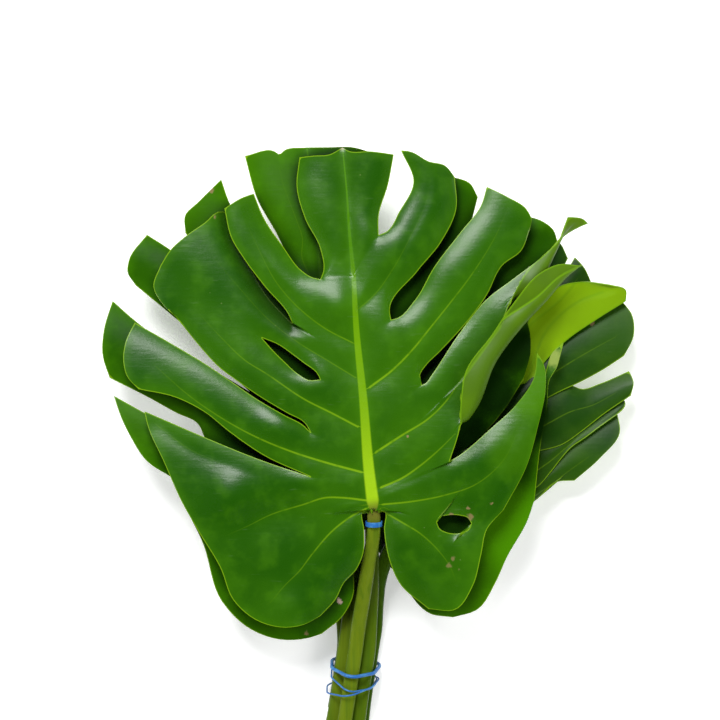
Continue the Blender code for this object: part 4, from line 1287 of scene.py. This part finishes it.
@dataclass
class Stalk:
    """A leaf stalk: a ribbed D-shaped tube with a flat top, thinner at its knee, and a cut end."""

    name: str
    plan: StalkPlan
    finish: StalkFinish
    steps: int = 200
    sides: int = 72
    ribs: int = 18
    rib_height: float = 0.07
    top_height: float = 0.74
    top_power: float = 0.6
    foot_radius: float = 3.3
    foot_depth: float = 5.2
    taper: float = 45.0
    knee_reach: float = 14.0

    def outline(self, radius: Array) -> Array:
        """The section: half a circle below, above it a lower and squarer half, and fine ribs.

        The upper half is a superellipse: both its cosine and its sine are raised to top_power.

        Args:
            radius: Radius at each step.

        Returns:
            Level and upward offsets, as (steps, sides, 2).
        """
        turn = angles(self.sides)
        c, s = np.cos(turn), np.sin(turn)
        x = np.where(s > 0, squared(c, self.top_power), c)
        y = np.where(s > 0, self.top_height * squared(s, self.top_power), s)
        ribbed = radius[:, None, None] - self.rib_height * (1 + np.cos(self.ribs * turn))[None, :, None]
        return ribbed * np.stack([x, y], axis=1)[None, :, :]

    def build(self) -> bpy.types.Object:
        """Makes the stalk, with the fields that its skin reads."""
        line = through(BUNDLE.route(self.plan), self.steps)
        x, y = self.plan.foot
        foot = np.array([x, y, self.plan.layer.value + dome(x, y) - self.foot_depth])
        lead = through([foot, (foot + line[0]) / 2, line[0], line[4]], 16)[:12]
        route = np.concatenate([lead, line[1:]])
        run = runs(route)
        lead_run = run[len(lead) - 1]
        radius = np.interp(run, [0.0, lead_run, lead_run + self.taper],
                           [self.foot_radius, BUNDLE.top_radius, BUNDLE.radius])
        points, faces = tube(route, self.outline(radius))
        height = np.tile(self.outline(np.ones(1))[0, :, 1] / self.top_height, len(route))
        knee = np.repeat(np.clip(1 - (run - lead_run) / self.knee_reach, 0, 1), self.sides)
        ends = np.zeros(2)
        fields = {"top": np.concatenate([height, ends]), "knee": np.concatenate([knee, ends]),
                  "middle": np.concatenate([np.zeros(len(height)), ends + 1.0])}
        slots = np.where([len(face) == 3 for face in faces], 1, 0)
        looks = [self.finish.skin(f"{self.name}_stalk_skin"), self.finish.cut(f"{self.name}_stalk_cut")]
        piece = drawn(f"{self.name}_stalk", points, faces, looks, slots, fields)
        return claimed(piece, Slot.STALK, f"{self.name}_petiole")


@dataclass
class Hoop:
    """A rubber band: a section carried round a closed line, facing away from its middle."""

    name: str
    finish: RubberFinish
    route: Array
    half_depth: float
    half_width: float
    squareness: float = 1.0
    sides: int = 16

    def build(self) -> bpy.types.Object:
        """Makes the band: its section is a superellipse, offset outward and along the stalks."""
        along = unit(np.roll(self.route, -1, axis=0) - np.roll(self.route, 1, axis=0))
        out = self.route - self.route.mean(axis=0)
        out = unit(out - (out * along).sum(axis=1, keepdims=True) * along)
        side = np.cross(along, out)
        turn = angles(self.sides)
        a = self.half_depth * squared(np.cos(turn), self.squareness)
        b = self.half_width * squared(np.sin(turn), self.squareness)
        rings = (self.route[:, None, :] + a[None, :, None] * out[:, None, :]
                 + b[None, :, None] * side[:, None, :])
        points = rings.reshape(-1, 3)
        faces = outward(points, ring_quads(len(rings), self.sides, True)).tolist()
        piece = drawn(f"{self.name}_rubber", points, faces, [self.finish.material(f"{self.name}_blue")])
        return claimed(piece, Slot.BAND, self.name)


def around(y: float, grow: float, tilt_z: float, tilt_x: float) -> Array:
    """The line that a stretched band takes round the stalks.

    In each direction it touches the stalk that reaches furthest; its plane is tilted.

    Args:
        y: Place of its middle along the stalks.
        grow: Distance of the line from the stalks' middle lines past their radius.
        tilt_z: Shift along the stalks for each millimetre up.
        tilt_x: Shift along the stalks for each millimetre to the right.

    Returns:
        The points of the closed line.
    """
    count = 240
    routes = [through(BUNDLE.route(plan), 400) for plan in STALKS.values()]
    angle = angles(2 * count)
    out = np.column_stack([np.cos(angle), np.sin(angle)])
    along = np.full(len(angle), y)
    for _ in range(4):
        near = [np.abs(route[:, 1, None] - along[None, :]).argmin(axis=0) for route in routes]
        centres = np.stack([route[k][:, [0, 2]] for route, k in zip(routes, near)])
        carried = np.einsum("mkc,kc->mk", centres, out).argmax(axis=0)
        ring = centres[carried, np.arange(len(angle))] + out * (BUNDLE.radius + grow)
        middle = centres.mean(axis=(0, 1))
        along = y + tilt_z * (ring[:, 1] - middle[1]) + tilt_x * (ring[:, 0] - middle[0])
    loop = np.column_stack([ring[:, 0], along, ring[:, 1]])
    return resample(np.concatenate([loop, loop[:1]]), count)[:-1]


def stem_ring(y: float, radius: float) -> Array:
    """A circle square to the front stalk at a distance along it."""
    route = through(BUNDLE.route(STALKS["front"]), 400)
    k = int(np.abs(route[:, 1] - y).argmin())
    level, up = upright(unit(route[k + 1] - route[k - 1]))
    turn = angles(96)[:, None]
    return route[k] + radius * (np.cos(turn) * level + np.sin(turn) * up)


@dataclass
class Bunch:
    """The whole bunch: blades, stalks and the bands that tie them."""

    clearance: float = 0.85
    thick: float = 1.25
    thin: float = 0.6
    ring_y: float = -14.8

    def blades(self) -> list[Blade]:
        """The five blades: shaded greens lie deeper in the stack."""
        front = BladeFinish(marks_and_painted_light=(
            MarkOrPaintedLight((56, -8), 2.2), MarkOrPaintedLight((70, -10), 3.0, 0.7), MarkOrPaintedLight((65, -14), 2.0),
            MarkOrPaintedLight((58, -40), 2.2, 0.55), MarkOrPaintedLight((55, -45), 2.4, 0.5), MarkOrPaintedLight((62, -48), 1.8, 0.5),
            MarkOrPaintedLight((-114, 206), 1.8), MarkOrPaintedLight((-22, 256), 3.0), MarkOrPaintedLight((25, 48), 1.2),
            MarkOrPaintedLight((-172, 130), 1.6), MarkOrPaintedLight((69, -4), 1.4), MarkOrPaintedLight((86, 0), 1.2),
            # Painted light: lighter greens on the lower right lobe, where it turns up towards the light.
            MarkOrPaintedLight((112, 84), 34.0, 0.7, (0.055, 0.175, 0.001)),
            MarkOrPaintedLight((102, 40), 30.0, 0.5, (0.042, 0.140, 0.001))))
        painted_shade = BladeFinish.painted_shade
        second = BladeFinish(deep=(0.014, 0.070, 0.0006), green=(0.026, 0.104, 0.0005),
                             fresh=(0.044, 0.165, 0.0005), gloss=0.34, shine=0.04,
                             marks_and_painted_light=(MarkOrPaintedLight((-24, -72), 2.2, 0.9, (0.50, 0.36, 0.30)),
                                        MarkOrPaintedLight((-48, -96), 2.4), MarkOrPaintedLight((-117, 226), 2.4),
                                        # Painted shade: dark patches where the second leaf lies deep
                                        # between the front leaf's right lobes.
                                        MarkOrPaintedLight((101, 112), 30.0, 0.97, painted_shade),
                                        MarkOrPaintedLight((86, 80), 28.0, 0.97, painted_shade),
                                        MarkOrPaintedLight((68, 52), 22.0, 0.97, painted_shade),
                                        MarkOrPaintedLight((118, 58), 22.0, 0.95, painted_shade),
                                        # Painted light: a lighter green patch low on the right side of the
                                        # second leaf.
                                        MarkOrPaintedLight((105, -20), 42.0, 0.9, (0.046, 0.175, 0.0008)),
                                        MarkOrPaintedLight((132, 104), 9.0, 0.9, (0.20, 0.27, 0.05))))
        # The right leaf's upper greens are darkened as painted shade; its pale underside is its own colour.
        right = BladeFinish(deep=(0.006, 0.036, 0.001), green=(0.016, 0.062, 0.002),
                            fresh=(0.030, 0.085, 0.002), under=(0.145, 0.275, 0.0006),
                            under_fresh=(0.190, 0.350, 0.0005), gloss=0.42, shine=0.25,
                            marks_and_painted_light=(MarkOrPaintedLight((160, 130), 2.4, 0.9),))
        # Darker greens for the left and lowest leaves, as painted shade deep in the stack.
        hidden = BladeFinish(deep=(0.006, 0.045, 0.001), green=(0.015, 0.080, 0.001))
        return [Blade("front", FRONT_LEAF, front, 3, density=7, vein_tone=0.8),
                Blade("second", SECOND_LEAF, second, 11, vein_tone=0.35),
                Blade("right", RIGHT_LEAF, right, 23), Blade("left", LEFT_LEAF, hidden, 31, density=5),
                Blade("lowest", LOWEST_LEAF, hidden, 43, density=5)]

    def stalks(self) -> list[Stalk]:
        """The five stalks: those at the side of the bundle are greener."""
        shades = {"front": 0.0, "second": 0.55, "right": 0.9, "left": 0.15, "lowest": 0.35}
        return [Stalk(name, plan, StalkFinish(shade=shades[name])) for name, plan in STALKS.items()]

    def bands(self) -> list[Hoop]:
        """The flat ring on the front stalk, and the thick and thin bands round all the stalks."""
        rubber, y = RubberFinish(), BUNDLE.middle_y
        wall, width = 0.8, 3.6
        ring = stem_ring(self.ring_y, BUNDLE.top_radius + 2 * BUNDLE.seat_gap + wall / 2)
        loose_grow = self.clearance + BUNDLE.seat_gap + 3 * self.thin
        thick, thin, clear = self.thick, self.thin, self.clearance
        return [Hoop("stem_band", rubber, ring, wall / 2, width / 2, 0.35),
                Hoop("thick_band", rubber, around(y, clear + thick, -0.3, -0.1), thick, thick),
                Hoop("thin_band", rubber, around(y - 8.5, clear + thin, -0.45, -0.25), thin, thin),
                Hoop("loose_band", rubber, around(y - 14, loose_grow, -0.25, 0.15), thin, thin)]

    def build(self) -> list[bpy.types.Object]:
        """Makes every piece of the bunch."""
        cover = Cover()
        blades = [blade.build(cover) for blade in self.blades()]
        return blades + [piece.build() for piece in [*self.stalks(), *self.bands()]]


def outward(points: Array, quads: Array) -> Array:
    """The quads of a closed mesh, turned over where they face inwards."""
    a, b, c, d = (points[quads[:, k]] for k in range(4))
    volume = (np.cross(b, c) * a).sum() + (np.cross(c, d) * a).sum()
    return quads if volume > 0 else quads[:, ::-1]


@dataclass(frozen=True)
class Studio:
    """A pale floor, soft light and the camera that looks straight down."""

    picture_centre: Point = (-9.4, 103.0)
    picture_width: float = 518.4
    plane_height: float = 66.0
    camera_distance: float = 3200.0
    sensor: float = 36.0
    aim: Colour = (0.0, 0.1, 0.05)
    floor_half: float = 6000.0
    floor_gap: float = 0.2

    def camera(self) -> None:
        """Puts the camera over the picture's centre, so that the width fills the frame."""
        data = bpy.data.cameras.new("camera")
        data.sensor_fit = "HORIZONTAL"
        data.sensor_width = self.sensor
        data.lens = self.sensor * self.camera_distance / self.picture_width
        data.clip_end = 100.0
        seen = bpy.data.objects.new("camera", data)
        x, y = (centre + shift for centre, shift in zip(self.picture_centre, ORIGIN_SHIFT))
        seen.location = (x * MM, y * MM, (self.plane_height + self.camera_distance) * MM)
        bpy.context.scene.collection.objects.link(seen)
        bpy.context.scene.camera = seen

    def lamp(self, name: str, place: Colour, size: float, power: float, shine: bool = False) -> None:
        """A square soft light that faces the bunch; only one with shine shows in the waxy faces."""
        data = bpy.data.lights.new(name, "AREA")
        data.size = size
        data.energy = power
        light = bpy.data.objects.new(name, data)
        light.location = place
        light.visible_glossy = shine
        light.rotation_euler = (Vector(self.aim) - Vector(place)).to_track_quat("-Z", "Y").to_euler()
        bpy.context.scene.collection.objects.link(light)

    def floor(self) -> None:
        """A wide pale floor just under the bunch."""
        corners = self.floor_half * np.array([(-1, -1, 0), (1, -1, 0), (1, 1, 0), (-1, 1, 0)])
        g = Graph("floor_paint")
        g.colour = (0.92, 0.92, 0.92)
        paint = g.finish(0.9, Emission_Color=(1.0, 1.0, 1.0), Emission_Strength=0.3)
        ground = drawn("floor", corners, [(0, 1, 2, 3)], [paint])
        ground.location.z = -self.floor_gap * MM

    def build(self) -> None:
        """Sets the camera, the lights, the floor and the dim surroundings."""
        self.camera()
        self.floor()
        self.lamp("key_light", (-0.45, 1.55, 2.1), 1.1, 84.0, shine=True)
        self.lamp("right_light", (2.1, 0.5, 1.8), 1.6, 38.0)
        self.lamp("left_light", (-2.2, -0.7, 1.6), 1.6, 36.0)
        self.lamp("near_light", (0.7, -2.1, 1.7), 1.6, 30.0)
        world = bpy.data.worlds.new("surroundings")
        world.use_nodes = True
        sky = world.node_tree.nodes["Background"].inputs
        sky["Color"].default_value = (0.85, 0.92, 1.0, 1.0)
        sky["Strength"].default_value = 0.03
        bpy.context.scene.world = world
        bpy.context.scene.view_settings.view_transform = "Standard"


def main() -> None:
    """Builds the bunch and the studio."""
    logging.basicConfig(level=logging.INFO, format="%(name)s: %(message)s")
    Bunch().build()
    Studio().build()


if __name__ == "__main__":
    main()
